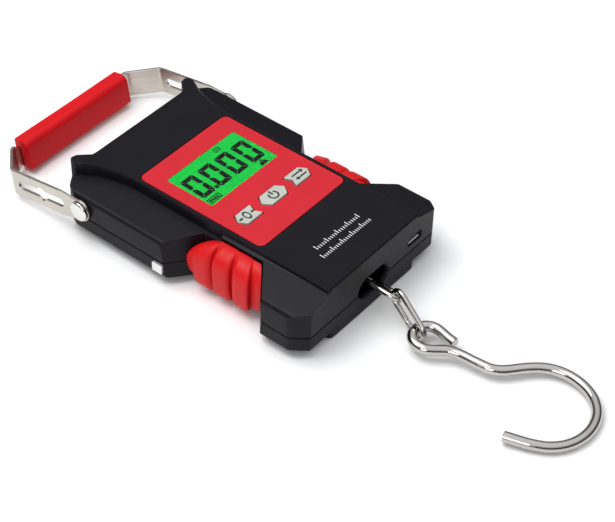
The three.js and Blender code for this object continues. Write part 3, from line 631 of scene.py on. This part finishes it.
def hook(eye_near):
    """Wire bent into an eye, a shank and a round hook whose far end rests on the floor."""
    bend_x, bend_reach, bend_radius, rests_at = -1, 55.3, 18.6, 74
    slope = math.atan2(eye_near.z - HOOK_WIRE, rests_at)
    forward = Vector((0, -cos(slope), -sin(slope)))

    def place(x, s):
        return eye_near + forward * s + Vector((x, 0, 0))

    def polar(cx, cs, r, degrees):
        a = radians(degrees)
        return place(cx + r * sin(a), cs - r * cos(a))

    turn = radians(EYE_TURN)
    eye_x, eye_reach = -EYE_RADIUS * sin(turn), EYE_RADIUS * cos(turn)
    points = [place(2.7, 14.9), place(3.2, 11), place(3.85, 8)]
    points += [polar(eye_x, eye_reach, EYE_RADIUS, a) for a in range(90, -91, -20)]
    shank = [(-7, 8.1), (-5.6, 10.3), (-3.9, 12.3), (-2.1, 14.6), (-1.1, 17), (-0.5, 19.8),
             (0, 24.7), (0.5, 28.4), (0.95, 31), (2, 33.3), (4, 35.8)]
    points += [place(x, s) for x, s in shank]
    # Angle round the bend, and how far the wire lies outside its circle there.
    bend = [(26, 0.1), (40, -0.5), (56, -0.5), (72, -0.35), (90, -0.25), (110, 0), (130, 0.4),
            (150, 0.5), (170, 0.3), (190, 0.15), (210, 0.1), (230, 0), (250, 0), (265, 0.7),
            (278.5, 2.5)]
    points += [polar(bend_x, bend_reach, bend_radius + extra, a) for a, extra in bend]
    line = catmull(points, 260)
    return tube("hook_wire", line[1:-1], HOOK_WIRE, 28, chamfer=0.22)


# ---------------------------------------------------------------- flat parts cut from a sheet


def sheet_metal(name, outer, holes, thickness, edge):
    """Flat part with rounded edges, whose mesh is still in millimetres."""
    curve = bpy.data.curves.new(name, "CURVE")
    curve.dimensions = "2D"
    curve.fill_mode = "BOTH"
    curve.extrude = thickness / 2 - edge
    curve.bevel_depth = edge
    curve.bevel_resolution = 3
    curve.offset = -edge
    for points in [outer] + holes:
        spline = curve.splines.new("POLY")
        spline.points.add(len(points) - 1)
        for point, (x, y) in zip(spline.points, points):
            point.co = (x, y, 0, 1)
        spline.use_cyclic_u = True
    obj = link(name, curve)
    graph = bpy.context.evaluated_depsgraph_get()
    mesh = bpy.data.meshes.new_from_object(obj.evaluated_get(graph))
    bpy.data.objects.remove(obj)
    bpy.data.curves.remove(curve)
    bm = bmesh.new()
    bm.from_mesh(mesh)
    bmesh.ops.remove_doubles(bm, verts=bm.verts, dist=MERGE)
    bmesh.ops.recalc_face_normals(bm, faces=bm.faces)
    bm.to_mesh(mesh)
    bm.free()
    return link(name, mesh)


def arc(cx, cy, r, start, end, steps):
    """Points along an arc from one angle to another, in degrees."""
    angles = [radians(start + (end - start) * k / steps) for k in range(steps + 1)]
    return [(cx + r * cos(a), cy + r * sin(a)) for a in angles]


# The bow: its pivot, the angle by which it hangs below level, and its middle line's corners.
PIVOT_Y, PIVOT_Z = 44.6, 14.3
DROOP = radians(8.84)
ARM_X, REACH, BEND, BAR_END = 43.15, 48.2, 37.2, 32.64
BEND_RADIUS = 3.4
CAP_RADIUS = 4.7
STRIP_THICKNESS = 1.2


def bow_path():
    """Half of the strip's middle line, from the middle of the bar to the pivot end."""
    corners = [Vector((0, REACH)), Vector((BAR_END, REACH)), Vector((ARM_X, BEND)),
               Vector((ARM_X, -CAP_RADIUS))]
    path = [corners[0]]
    for i in (1, 2):
        here = corners[i]
        a = (corners[i - 1] - here).normalized()
        b = (corners[i + 1] - here).normalized()
        half = a.angle(b) / 2
        reach = BEND_RADIUS / math.tan(half)
        centre = here + (a + b).normalized() * (BEND_RADIUS / sin(half))
        p0, p1 = here + a * reach - centre, here + b * reach - centre
        turn = p0.angle_signed(p1)
        for k in range(9):
            q = p0.copy()
            q.rotate(Matrix.Rotation(-turn * k / 8, 2))
            path.append(centre + q)
    path.append(corners[3])
    return path


def lower(x, y, z):
    """From the level bow, with its pivot at the origin, to the way it lies."""
    return Vector((x, PIVOT_Y + y * cos(DROOP) + z * sin(DROOP),
                   PIVOT_Z - y * sin(DROOP) + z * cos(DROOP)))


def bow_blank(lengths):
    """The strip laid out flat, with its slots and bores, cut across wherever it will bend."""
    pivot = lengths[-1] - CAP_RADIUS

    def at(y):
        """Distance from the strip's middle to the point y in front of the pivot."""
        return pivot - y

    half_width, shoulder = 5.75, 9.5
    neck = [(29.6, 3.9), (30.6, 5.2), (31.4, half_width)]
    round_end = [0.42 * pi + (1.16 * pi) * k / 20 for k in range(21)]
    cap = [(at(CAP_RADIUS * cos(a)), CAP_RADIUS * sin(a)) for a in round_end]
    end = [(at(shoulder), half_width)] + cap + [(at(shoulder), -half_width)]
    right = neck + end + [(x, -y) for x, y in reversed(neck)]
    outer = right + [(-x, y) for x, y in reversed(right)]
    slot_start, slot_middle, slot_end, narrow, wide = 10.5, 21.2, 32.2, 1.85, 3.0
    dip = math.degrees(math.asin(narrow / wide))
    slot = arc(slot_start, 0, narrow, 90, 270, 8)
    slot += arc(slot_middle, 0, wide, 180 + dip, 360 - dip, 10)
    slot += arc(slot_end, 0, narrow, -90, 90, 8)
    slot += arc(slot_middle, 0, wide, dip, 180 - dip, 10)
    bore = arc(0, 0, 2.3, 0, 345, 23)
    holes = [[(sign * at(y), z) for y, z in hole] for sign in (1, -1) for hole in (slot, bore)]
    flat = sheet_metal("bow_strip_bent", outer, holes, STRIP_THICKNESS, 0.16)
    bm = bmesh.new()
    bm.from_mesh(flat.data)
    for s in lengths[1:-1] + [at(y) for y in (5, shoulder, 14, 21, 28, 33)]:
        for sign in (1, -1):
            bmesh.ops.bisect_plane(bm, geom=bm.verts[:] + bm.edges[:] + bm.faces[:],
                                   plane_co=(sign * s, 0, 0), plane_no=(1, 0, 0))
    uv = bm.loops.layers.uv.new("strip")
    for face in bm.faces:
        for loop in face.loops:
            loop[uv].uv = (loop.vert.co.x * MM, loop.vert.co.y * MM)
    bm.to_mesh(flat.data)
    bm.free()
    return flat


def bow_strip():
    """The flat strip, bent along the bow's middle line."""
    path = bow_path()
    lengths = [0.0]
    for a, b in zip(path, path[1:]):
        lengths.append(lengths[-1] + (b - a).length)
    strip = bow_blank(lengths)
    bm = bmesh.new()
    bm.from_mesh(strip.data)
    for vert in bm.verts:
        s, width, t = vert.co
        sign = 1 if s >= 0 else -1
        s = min(abs(s), lengths[-1])
        k = max(i for i in range(len(lengths)) if lengths[i] <= s + 1e-6)
        k = min(k, len(lengths) - 2)
        run = (path[k + 1] - path[k]).normalized()
        point = path[k] + run * (s - lengths[k])
        if abs(s - lengths[k]) < 1e-3 and k > 0:
            run = (run + (path[k] - path[k - 1]).normalized()).normalized()
        point = point + Vector((-run.y, run.x)) * t
        vert.co = lower(sign * point.x, point.y, width) * MM
    bmesh.ops.recalc_face_normals(bm, faces=bm.faces)
    bm.to_mesh(strip.data)
    bm.free()
    return smooth(strip, 32)


def bow_grip():
    """Sleeve on the bar, a little thinner at its middle, with rounded ends."""
    section = rounded(rect(REACH - 1.76, 1.2, 7.84, 13.3), [1.3, 1.6, 1.3, 3.2], 9)
    half_length, edge, waist = 29, 0.55, 0.12
    levels = [(edge * (1 - sin(a)), edge * (1 - cos(a)) - half_length)
              for a in (0, pi / 8, pi / 4, 3 * pi / 8, pi / 2)]
    far_end = [(d, -x) for d, x in reversed(levels)]
    for k in range(1, 20):
        levels.append((waist * (1 - cos(2 * pi * k / 20)) / 2, -28.4 + 56.8 * k / 20))
    grip = stack("bow_grip_sleeve", section, levels + far_end, along_x)
    boolean(grip, stack("tool", rect(REACH, 0, 2.1, 8.6), [(0, -40), (0, 40)], along_x))
    for vert in grip.data.vertices:
        x, y, z = vert.co / MM
        vert.co = lower(x, y, z) * MM
    return smooth(grip, 40)


def turned(name, profile, side):
    """Solid of revolution about the pivot axis from (radius, distance from the middle) pairs."""
    angles = [2 * pi * k / 48 for k in range(48)]
    rings = [[(side * x, PIVOT_Y + r * cos(a), PIVOT_Z + r * sin(a)) for a in angles]
             for r, x in profile]
    return smooth(loft(name, rings), 40)


def rivet(side):
    """Pin with a formed head inside the housing and a low dome outside the bow."""
    foot, head, pin = 3.2, 4.2, 2.2
    seat = ARM_X + STRIP_THICKNESS / 2 + 0.3
    rim = seat + 0.4
    profile = [(0.6, 38), (foot - 0.2, 38), (foot, 38.2), (foot, 39.4), (foot - 0.2, 39.6),
               (pin, 39.6), (pin, seat), (head - 0.2, seat), (head, seat + 0.15), (head, rim)]
    for k in range(1, 10):
        a = pi / 2 * k / 9
        profile.append((head * cos(a) ** 0.8 if k < 9 else 0.15, rim + sin(a)))
    return turned("pivot_rivet_head", profile, side)


# ---------------------------------------------------------------- face

LCD_TOP = 26.2
LCD_Y = 9.9
KEY_PITCH, KEY_Y = 15.1, -15.2
KEY_TOP = 27.1


def key_outline(index, grow=0.0):
    """Outline of a key: a hexagon in the middle, and a tag with a notched end on either side."""
    w, h = 5.3 + grow, 3.3 + grow
    if index == 0:
        far = w + 1.4
        shape = [(far, 0), (w - 0.9, h), (-w + 0.9, h), (-far, 0), (-w + 0.9, -h), (w - 0.9, -h)]
    else:
        back = -w - 0.45 * grow
        shape = [(w, 0), (w - 2.1, h), (back, h), (-w + 1.7 - grow, 0), (back, -h),
                 (w - 2.1, -h)]
    if index < 0:
        shape = [(-x, y) for x, y in shape][::-1]
    return [(index * KEY_PITCH + x, KEY_Y + y) for x, y in shape]


def key_cap(index, name):
    outline = rounded(key_outline(index), 0.45, 4)
    levels = [(0, 22.9), (0, 26.7)] + round_edge(KEY_TOP, 0.3)
    return smooth(stack(name, outline, levels), 30)


def face_panel():
    """Thin overlay with an opening for the display and one for each key."""
    thickness = 0.8
    outer = rounded_rect(0, 0, 50, 60.8, 2.6, 8)
    holes = [rounded_rect(0, LCD_Y, 38.6, 22.8, 0.5, 4)]
    holes += [rounded(key_outline(i, 0.35), 0.5, 4) for i in (-1, 0, 1)]
    panel = sheet_metal("face_panel_overlay", outer, holes, thickness, 0.12)
    for vert in panel.data.vertices:
        vert.co = (vert.co + Vector((0, 0, FACE_Z - thickness / 2))) * MM
    return smooth(panel, 30)


def plates(name, outlines, z0, z1):
    """Thin raised shapes, one piece."""
    verts, faces = [], []
    for outline in outlines:
        if area(outline) < 0:
            outline = outline[::-1]
        start, count = len(verts), len(outline)
        verts += [(x, y, z0) for x, y in outline] + [(x, y, z1) for x, y in outline]
        for i in range(count):
            j = (i + 1) % count
            faces.append((start + i, start + j, start + count + j, start + count + i))
        faces.append(tuple(start + i for i in reversed(range(count))))
        faces.append(tuple(start + count + i for i in range(count)))
    return from_data(name, verts, faces)


def zero_digit(cx, cy):
    """Six dark segments of a figure 0."""
    w, h, t, gap, slant = 3.5, 6.5, 2.1, 0.15, 0.04
    bars = []
    for s in (1, -1):
        bars.append([(-w + gap, s * h), (w - gap, s * h), (w - t, s * (h - t)),
                     (-w + t, s * (h - t))])
        for side in (1, -1):
            bars.append([(side * w, s * (h - gap)), (side * w, s * (0.2 + gap)),
                         (side * (w - t * 0.5), s * gap), (side * (w - t), s * (t * 0.5 + gap)),
                         (side * (w - t), s * (h - t - gap))])
    return [rounded([(cx + x + slant * y, cy + y) for x, y in bar], 0.2, 2) for bar in bars]


def display_marks():
    """Four figures with a point, and small plain signs round them."""
    shapes = []
    for cx, cy in ((-14.1, 10.2), (-4.7, 9.9), (4.6, 9.6), (13.9, 9.3)):
        shapes += zero_digit(cx, cy)
    point = rounded_rect(-9.5, 4.7, 1.7, 1.8, 0.5, 4)
    charge_bars = [rect(-17.2 + 1.25 * k, 0.8, 0.95, 1.5) for k in range(4)]
    battery = charge_bars + frame_bars(-15.2, 0.8, 6.3, 2.5, 0.4)
    hold = frame_bars(6.9, 19, 2.6, 1.7, 0.4) + [rect(6.9, 19, 0.9, 0.5)]
    weight = [rounded([(10.8, -0.6), (15.2, -0.6), (14.3, 1.4), (11.7, 1.4)], 0.2, 2),
              rounded_rect(13, 1.95, 1.3, 0.7, 0.2, 2)]
    return plates("lcd_figures", shapes + [point] + battery + hold + weight, LCD_TOP,
                  LCD_TOP + 0.04)


def display_pane(name, z0, z1):
    """Glass that fills the display opening of the face panel."""
    pane = stack(name, rounded_rect(0, LCD_Y, 38.5, 22.7, 0.45, 4), [(0, z0), (0, z1)])
    return smooth(pane, 30)


def frame_bars(cx, cy, w, h, t):
    """Four thin bars round a rectangle."""
    return [rect(cx, cy + h / 2, w + t, t), rect(cx, cy - h / 2, w + t, t),
            rect(cx - w / 2, cy, t, h - t), rect(cx + w / 2, cy, t, h - t)]


def ring_piece(cx, cy, r, t, start, end):
    return arc(cx, cy, r, start, end, 24) + arc(cx, cy, r - t, end, start, 24)


def ring_halves(cx, cy, r, t, narrow, stretch):
    """Oval ring in two halves, because an outline can't hold a hole."""
    halves = [arc(0, 0, r, start, start + 180, 14) + arc(0, 0, r - t, start + 180, start, 14)
              for start in (0, 180)]
    return [[(cx + x * narrow, cy + y * stretch) for x, y in half] for half in halves]


def arrow(x0, x1, y, t, head):
    """Arrow from x0 to x1 with a shaft t thick."""
    s = 1 if x1 > x0 else -1
    neck = x1 - s * head
    return [(x0, y - t / 2), (neck, y - t / 2), (neck, y - head * 0.75), (x1, y),
            (neck, y + head * 0.75), (neck, y + t / 2), (x0, y + t / 2)]


def key_signs():
    """Plain signs: a zero between two arrows, a broken ring with a bar, and two arrows."""
    y = KEY_Y
    tare_x, unit_x = -KEY_PITCH, KEY_PITCH
    tare = ring_halves(tare_x - 0.2, y, 1.95, 0.75, 0.75, 1.2)
    tare += [arrow(tare_x - 4.5, tare_x - 2.3, y, 0.75, 1.1),
             arrow(tare_x + 3.6, tare_x + 1.8, y, 0.75, 1)]
    power = [ring_piece(0, y - 0.15, 2.3, 0.75, 128, 412), rect(0, y + 1.4, 0.8, 2.5)]
    unit = [arrow(unit_x - 2.7, unit_x + 3.6, y + 1.15, 0.7, 1.5),
            arrow(unit_x + 3.4, unit_x - 2.8, y - 1.15, 0.7, 1.5)]
    return {"tare": tare, "power": power, "unit": unit}


def charge_port_lip_painted_highlight():
    """Lower lip inside the mouth of the charging socket: a real edge, coloured near white as a
    painted highlight that makes the slit bright.
    """
    lip = rounded_rect(25.2, 14.97, 6.6, 0.44, 0.2, 4)
    return stack("charge_port_lip_painted_highlight", lip, [(0.06, 59.5), (0.06, 63), (0.12, 63.1)], along_y)


def scale_ticks():
    """Two rows of plain marks, with a tall one at every fifth place."""
    shapes = []
    # First x, last x, y, how far the row climbs, and how many marks it has.
    for x0, x1, y, tilt, count in ((-12.4, 11.4, -45.6, -0.6, 21), (-14.4, 12.6, -50.3, -0.4, 25)):
        for k in range(count):
            t = k / (count - 1)
            tall = 2.4 if k % 5 == 0 else 1.3
            shapes.append(rect(x0 + (x1 - x0) * t, y + tilt * t + (tall - 2.4) / 2, 0.36, tall))
    return plates("scale_ticks", shapes, FACE_Z - 0.1, FACE_Z + 0.015)


# ---------------------------------------------------------------- materials

# Sockets of a colour Mix node, whose names each belong to several sockets.
MIX_FACTOR, MIX_A, MIX_B, MIX_RESULT = 0, 6, 7, 2


def finish_material(name, colour, rough, metal=0.0, vary=0.12, blotch=70, grain=0.0, grain_size=900,
                    rough_vary=0.08, brushed=None, **extra):
    """Principled material with colour blotches, uneven roughness and a fine surface grain.

    blotch and grain_size are noise scales for one metre, grain is the depth of the grain in
    millimetres, brushed names the UV map that brush lines run along, and extra holds values for
    the shader's own sockets.
    """
    mat = bpy.data.materials.new(name)
    mat.use_nodes = True
    tree = mat.node_tree
    shader = tree.nodes["Principled BSDF"]
    shader.inputs["Metallic"].default_value = metal
    for key, value in extra.items():
        shader.inputs[key.replace("_", " ")].default_value = value
    place = tree.nodes.new("ShaderNodeTexCoord")
    vector = place.outputs["Object"]

    def noise_node(scale, detail, source=None):
        node = tree.nodes.new("ShaderNodeTexNoise")
        node.inputs["Scale"].default_value = scale
        node.inputs["Detail"].default_value = detail
        tree.links.new(source or vector, node.inputs["Vector"])
        return node.outputs["Fac"]

    def ramp(fac, low, high):
        """Maps the middle of the noise's range to low and high."""
        node = tree.nodes.new("ShaderNodeMapRange")
        node.inputs["From Min"].default_value = 0.3
        node.inputs["From Max"].default_value = 0.7
        node.inputs["To Min"].default_value = low
        node.inputs["To Max"].default_value = high
        tree.links.new(fac, node.inputs["Value"])
        return node.outputs["Result"]

    mix = tree.nodes.new("ShaderNodeMix")
    mix.data_type = "RGBA"
    dark = [c * (1 - vary) for c in colour]
    light = [min(1, c * (1 + vary)) for c in colour]
    mix.inputs[MIX_A].default_value = (*dark, 1)
    mix.inputs[MIX_B].default_value = (*light, 1)
    tree.links.new(ramp(noise_node(blotch, 4), 0, 1), mix.inputs[MIX_FACTOR])
    tree.links.new(mix.outputs[MIX_RESULT], shader.inputs["Base Color"])

    source = None
    if brushed:
        uv = tree.nodes.new("ShaderNodeUVMap")
        uv.uv_map = brushed
        stretch = tree.nodes.new("ShaderNodeMapping")
        stretch.inputs["Scale"].default_value = (0.03, 1, 1)
        tree.links.new(uv.outputs["UV"], stretch.inputs["Vector"])
        source = stretch.outputs["Vector"]
    uneven = noise_node(grain_size * (4 if brushed else 0.35), 3, source)
    tree.links.new(ramp(uneven, rough - rough_vary, rough + rough_vary), shader.inputs["Roughness"])
    if grain:
        bump = tree.nodes.new("ShaderNodeBump")
        bump.inputs["Strength"].default_value = 1
        bump.inputs["Distance"].default_value = grain * MM
        height = noise_node(grain_size * (5 if brushed else 1), 4, source)
        tree.links.new(height, bump.inputs["Height"])
        tree.links.new(bump.outputs["Normal"], shader.inputs["Normal"])
    return mat


def srgb(r, g, b):
    out = []
    for c in (r, g, b):
        c /= 255
        out.append(c / 12.92 if c <= 0.04045 else ((c + 0.055) / 1.055) ** 2.4)
    return out


LOOKS = {
    "black_plastic": dict(colour=srgb(15, 13, 20), rough=0.42, grain=0.012, grain_size=2600,
                          rough_vary=0.05, Specular_IOR_Level=0.16),
    "back_plastic": dict(colour=srgb(16, 14, 21), rough=0.45, grain=0.014, grain_size=2600,
                         rough_vary=0.06, Specular_IOR_Level=0.16),
    "red_panel": dict(colour=srgb(196, 34, 46), rough=0.4, vary=0.03, grain=0.004,
                      grain_size=3500, rough_vary=0.04, Specular_IOR_Level=0.2),
    "clear_window": dict(colour=(0.97, 1.0, 0.98), rough=0.03, vary=0.01, grain=0.001,
                         grain_size=1500, rough_vary=0.015, Transmission_Weight=1.0, IOR=1.16),
    "lcd_green": dict(colour=srgb(0, 158, 50), rough=0.3, vary=0.04, blotch=60, grain=0.001,
                      grain_size=4000, rough_vary=0.04, Emission_Color=(0.0, 0.6, 0.06, 1),
                      Emission_Strength=0.36, Specular_IOR_Level=0.1),
    "lcd_ink": dict(colour=srgb(6, 16, 8), rough=0.5, vary=0.2, grain=0.001, grain_size=5000,
                    Specular_IOR_Level=0.1),
    "backlight": dict(colour=srgb(216, 255, 224), rough=0.5, vary=0.03, grain=0.002,
                      grain_size=3000, Emission_Color=(0.3, 0.9, 0.4, 1), Emission_Strength=0.3),
    "key_plastic": dict(colour=srgb(180, 186, 176), rough=0.45, vary=0.05, grain=0.006,
                        grain_size=2600, rough_vary=0.06),
    "key_ink": dict(colour=srgb(38, 42, 40), rough=0.55, vary=0.2, grain=0.001, grain_size=5000),
    "white_ink": dict(colour=srgb(222, 222, 224), rough=0.55, vary=0.05, grain=0.002,
                      grain_size=4000),
    "switch_plastic": dict(colour=srgb(52, 54, 60), rough=0.45, vary=0.1, grain=0.006,
                           grain_size=2600),
    "circuit_board": dict(colour=srgb(20, 88, 48), rough=0.35, vary=0.2, blotch=400, grain=0.01,
                          Coat_Weight=0.4, Coat_Roughness=0.15),
    "screw_steel": dict(colour=srgb(186, 184, 176), rough=0.32, metal=1.0, vary=0.1, grain=0.004,
                        grain_size=2200),
    # Near-white metal: on the charging socket's lip it paints the highlight of the bright slit; the
    # tape tab shares it.
    "socket_metal": dict(colour=srgb(232, 232, 230), rough=0.34, metal=0.7, vary=0.06,
                         grain=0.003, grain_size=2400),
    "port_metal": dict(colour=srgb(46, 45, 50), rough=0.35, metal=1.0, vary=0.06, grain=0.003,
                       grain_size=2400),
    "battery_wrap": dict(colour=srgb(150, 158, 172), rough=0.35, metal=0.6, vary=0.08,
                         grain=0.03, grain_size=300),
    "beam_aluminium": dict(colour=srgb(190, 192, 196), rough=0.38, metal=1.0, vary=0.06,
                           grain=0.008, grain_size=1800),
    "hook_chrome": dict(colour=srgb(190, 186, 182), rough=0.1, metal=1.0, vary=0.05, blotch=120,
                        grain=0.002, grain_size=700, rough_vary=0.05),
    "grip_rubber": dict(colour=srgb(202, 8, 15), rough=0.5, vary=0.07, grain=0.02,
                        grain_size=1500, rough_vary=0.07, Specular_IOR_Level=0.3),
    "bow_steel": dict(colour=srgb(196, 191, 182), rough=0.3, metal=1.0, vary=0.06, grain=0.006,
                      grain_size=500, brushed="strip"),
    "spring_steel": dict(colour=srgb(150, 150, 158), rough=0.3, metal=1.0, vary=0.08,
                         grain=0.004, grain_size=1500),
    "handle_rubber": dict(colour=srgb(202, 9, 20), rough=0.52, vary=0.08, blotch=50, grain=0.02,
                          grain_size=1400, rough_vary=0.06, Specular_IOR_Level=0.2),
    "rivet_chrome": dict(colour=srgb(222, 221, 218), rough=0.2, metal=1.0, vary=0.05,
                         grain=0.003),
    "tape_yellow": dict(colour=srgb(226, 200, 44), rough=0.4, vary=0.06, grain=0.003,
                        grain_size=2000),
}
MATERIALS = {name: finish_material(name, **look) for name, look in LOOKS.items()}


def paint(obj, name):
    obj.data.materials.clear()
    obj.data.materials.append(MATERIALS[name])


# ---------------------------------------------------------------- assembly


def new_piece(obj, body, material, slot, *stands_for):
    paint(obj, material)
    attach(obj, body)
    if stands_for:
        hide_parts(*stands_for)


def rename(obj, name):
    obj.name = name
    obj.data.name = name
    return obj


new_piece(front_housing(), "housing", "black_plastic", "black_plastic", "front_housing")
new_piece(rear_housing(), "housing", "back_plastic", "back_plastic", "rear_housing")
new_piece(face_panel(), "housing", "red_panel", "red_panel", "face_panel")
new_piece(display_pane("lcd_glass_lit", 24, LCD_TOP), "housing", "lcd_green", "lcd_green",
          "lcd_glass")
new_piece(display_pane("display_window_clear", LCD_TOP + 0.08, FACE_Z - 0.1), "housing",
          "clear_window", "clear_window", "display_window")
new_piece(display_marks(), "housing", "lcd_ink", "lcd_green")
new_piece(scale_ticks(), "housing", "white_ink", "black_plastic")
# The lip's near-white metal is a painted highlight in the mouth of the dark charging socket.
new_piece(charge_port_lip_painted_highlight(), "housing", "socket_metal", "socket_metal")

for side, word in ((1, "right"), (-1, "left")):
    grip = rename(side_grip(side), f"side_grip_soft_{word}")
    new_piece(grip, "housing", "grip_rubber", "grip_rubber", f"side_grip_{word}")
    head = rename(rivet(side), f"pivot_rivet_domed_{word}")
    new_piece(head, "housing", "rivet_chrome", "rivet_chrome", f"pivot_rivet_{word}")

new_piece(bow_strip(), "bow", "bow_steel", "bow_steel", "bow_strip")
new_piece(bow_grip(), "bow", "handle_rubber", "handle_rubber", "bow_grip")

signs = key_signs()
for index, word in ((-1, "tare"), (0, "power"), (1, "unit")):
    cap = key_cap(index, f"{word}_key_cap")
    new_piece(cap, f"{word}_button", "key_plastic", "key_plastic", f"{word}_key")
    sign = plates(f"{word}_key_sign", signs[word], KEY_TOP - 0.03, KEY_TOP + 0.03)
    new_piece(sign, f"{word}_button", "key_ink", "key_plastic")

upper, lower_one, eye_near = chain_layout()
link1 = chain_link("chain_link_upper_wire", upper)
new_piece(link1, "upper_link", "hook_chrome", "hook_chrome", "chain_link_upper")
link2 = chain_link("chain_link_lower_wire", lower_one, seam=42)
new_piece(link2, "lower_link", "hook_chrome", "hook_chrome", "chain_link_lower")
new_piece(hook(eye_near), "hook_body", "hook_chrome", "hook_chrome", "hook")

KEPT = {
    "backlight": ["backlight_panel"],
    "switch_plastic": ["tare_switch", "power_switch", "unit_switch", "tape_reel"],
    "circuit_board": ["main_board", "charge_board"],
    "port_metal": ["usb_socket"],
    "battery_wrap": ["battery_cell"],
    "beam_aluminium": ["load_cell_beam"],
    "hook_chrome": ["anchor_eye"],
    "tape_yellow": ["tape_coil", "tape_leader"],
    "socket_metal": ["tape_tab"],
    "spring_steel": ["return_spring"],
    "screw_steel": [
        "board_screw_right", "board_screw_left", "load_cell_bolt_front", "load_cell_bolt_rear",
        "reel_spindle", "housing_screw_upper_right", "housing_screw_upper_left",
        "housing_screw_lower_right", "housing_screw_lower_left",
    ],
}
for material, names in KEPT.items():
    for node in names:
        obj = nodes[node]
        paint(obj, material)
        join = obj.modifiers.new("join", "WELD")
        join.merge_threshold = MERGE * MM
        add_bevel(obj, 0.12, 2, 40)

# ---------------------------------------------------------------- floor, light


def floor():
    """Sheet of paper just below the lowest point of the object."""
    size, drop = 3.0, 0.00012
    corners = [(-size, -size, 0), (size, -size, 0), (size, size, 0), (-size, size, 0)]
    mesh = bpy.data.meshes.new("floor")
    mesh.from_pydata(corners, [], [(0, 1, 2, 3)])
    obj = link("floor", mesh)
    obj.location = (0, 0, -drop)
    mesh.materials.append(finish_material("floor_paper", (0.93, 0.93, 0.93), 0.7, vary=0.01,
                                          grain=0.01, grain_size=300))


def softbox(name, place, target, size, power):
    data = bpy.data.lights.new(name, "AREA")
    data.shape = "RECTANGLE"
    data.size, data.size_y = size
    data.energy = power
    obj = bpy.data.objects.new(name, data)
    scene.collection.objects.link(obj)
    obj.location = place
    aim = Vector(target) - Vector(place)
    obj.rotation_euler = aim.to_track_quat("-Z", "Y").to_euler()


def world_light(low, high):
    """Studio light: dim from 17 degrees above the horizon down, bright from 64 degrees up."""
    world = bpy.data.worlds.new("studio")
    world.use_nodes = True
    tree = world.node_tree
    back = tree.nodes["Background"]
    back.inputs["Color"].default_value = (0.97, 0.98, 1.0, 1)
    place = tree.nodes.new("ShaderNodeTexCoord")
    split = tree.nodes.new("ShaderNodeSeparateXYZ")
    height = tree.nodes.new("ShaderNodeMapRange")
    height.interpolation_type = "SMOOTHSTEP"
    height.inputs["From Min"].default_value = 0.3
    height.inputs["From Max"].default_value = 0.9
    height.inputs["To Min"].default_value = low
    height.inputs["To Max"].default_value = high
    tree.links.new(place.outputs["Generated"], split.inputs["Vector"])
    tree.links.new(split.outputs["Z"], height.inputs["Value"])
    tree.links.new(height.outputs["Result"], back.inputs["Strength"])
    scene.world = world


floor()
world_light(0.07, 1.05)
softbox("key_light", (-0.25, 0.35, 1.1), (0, -0.02, 0), (0.8, 0.8), 9)
softbox("side_light", (-0.9, -0.3, 0.5), (0, 0, 0), (0.5, 0.6), 2.2)
scene.view_settings.view_transform = "Standard"
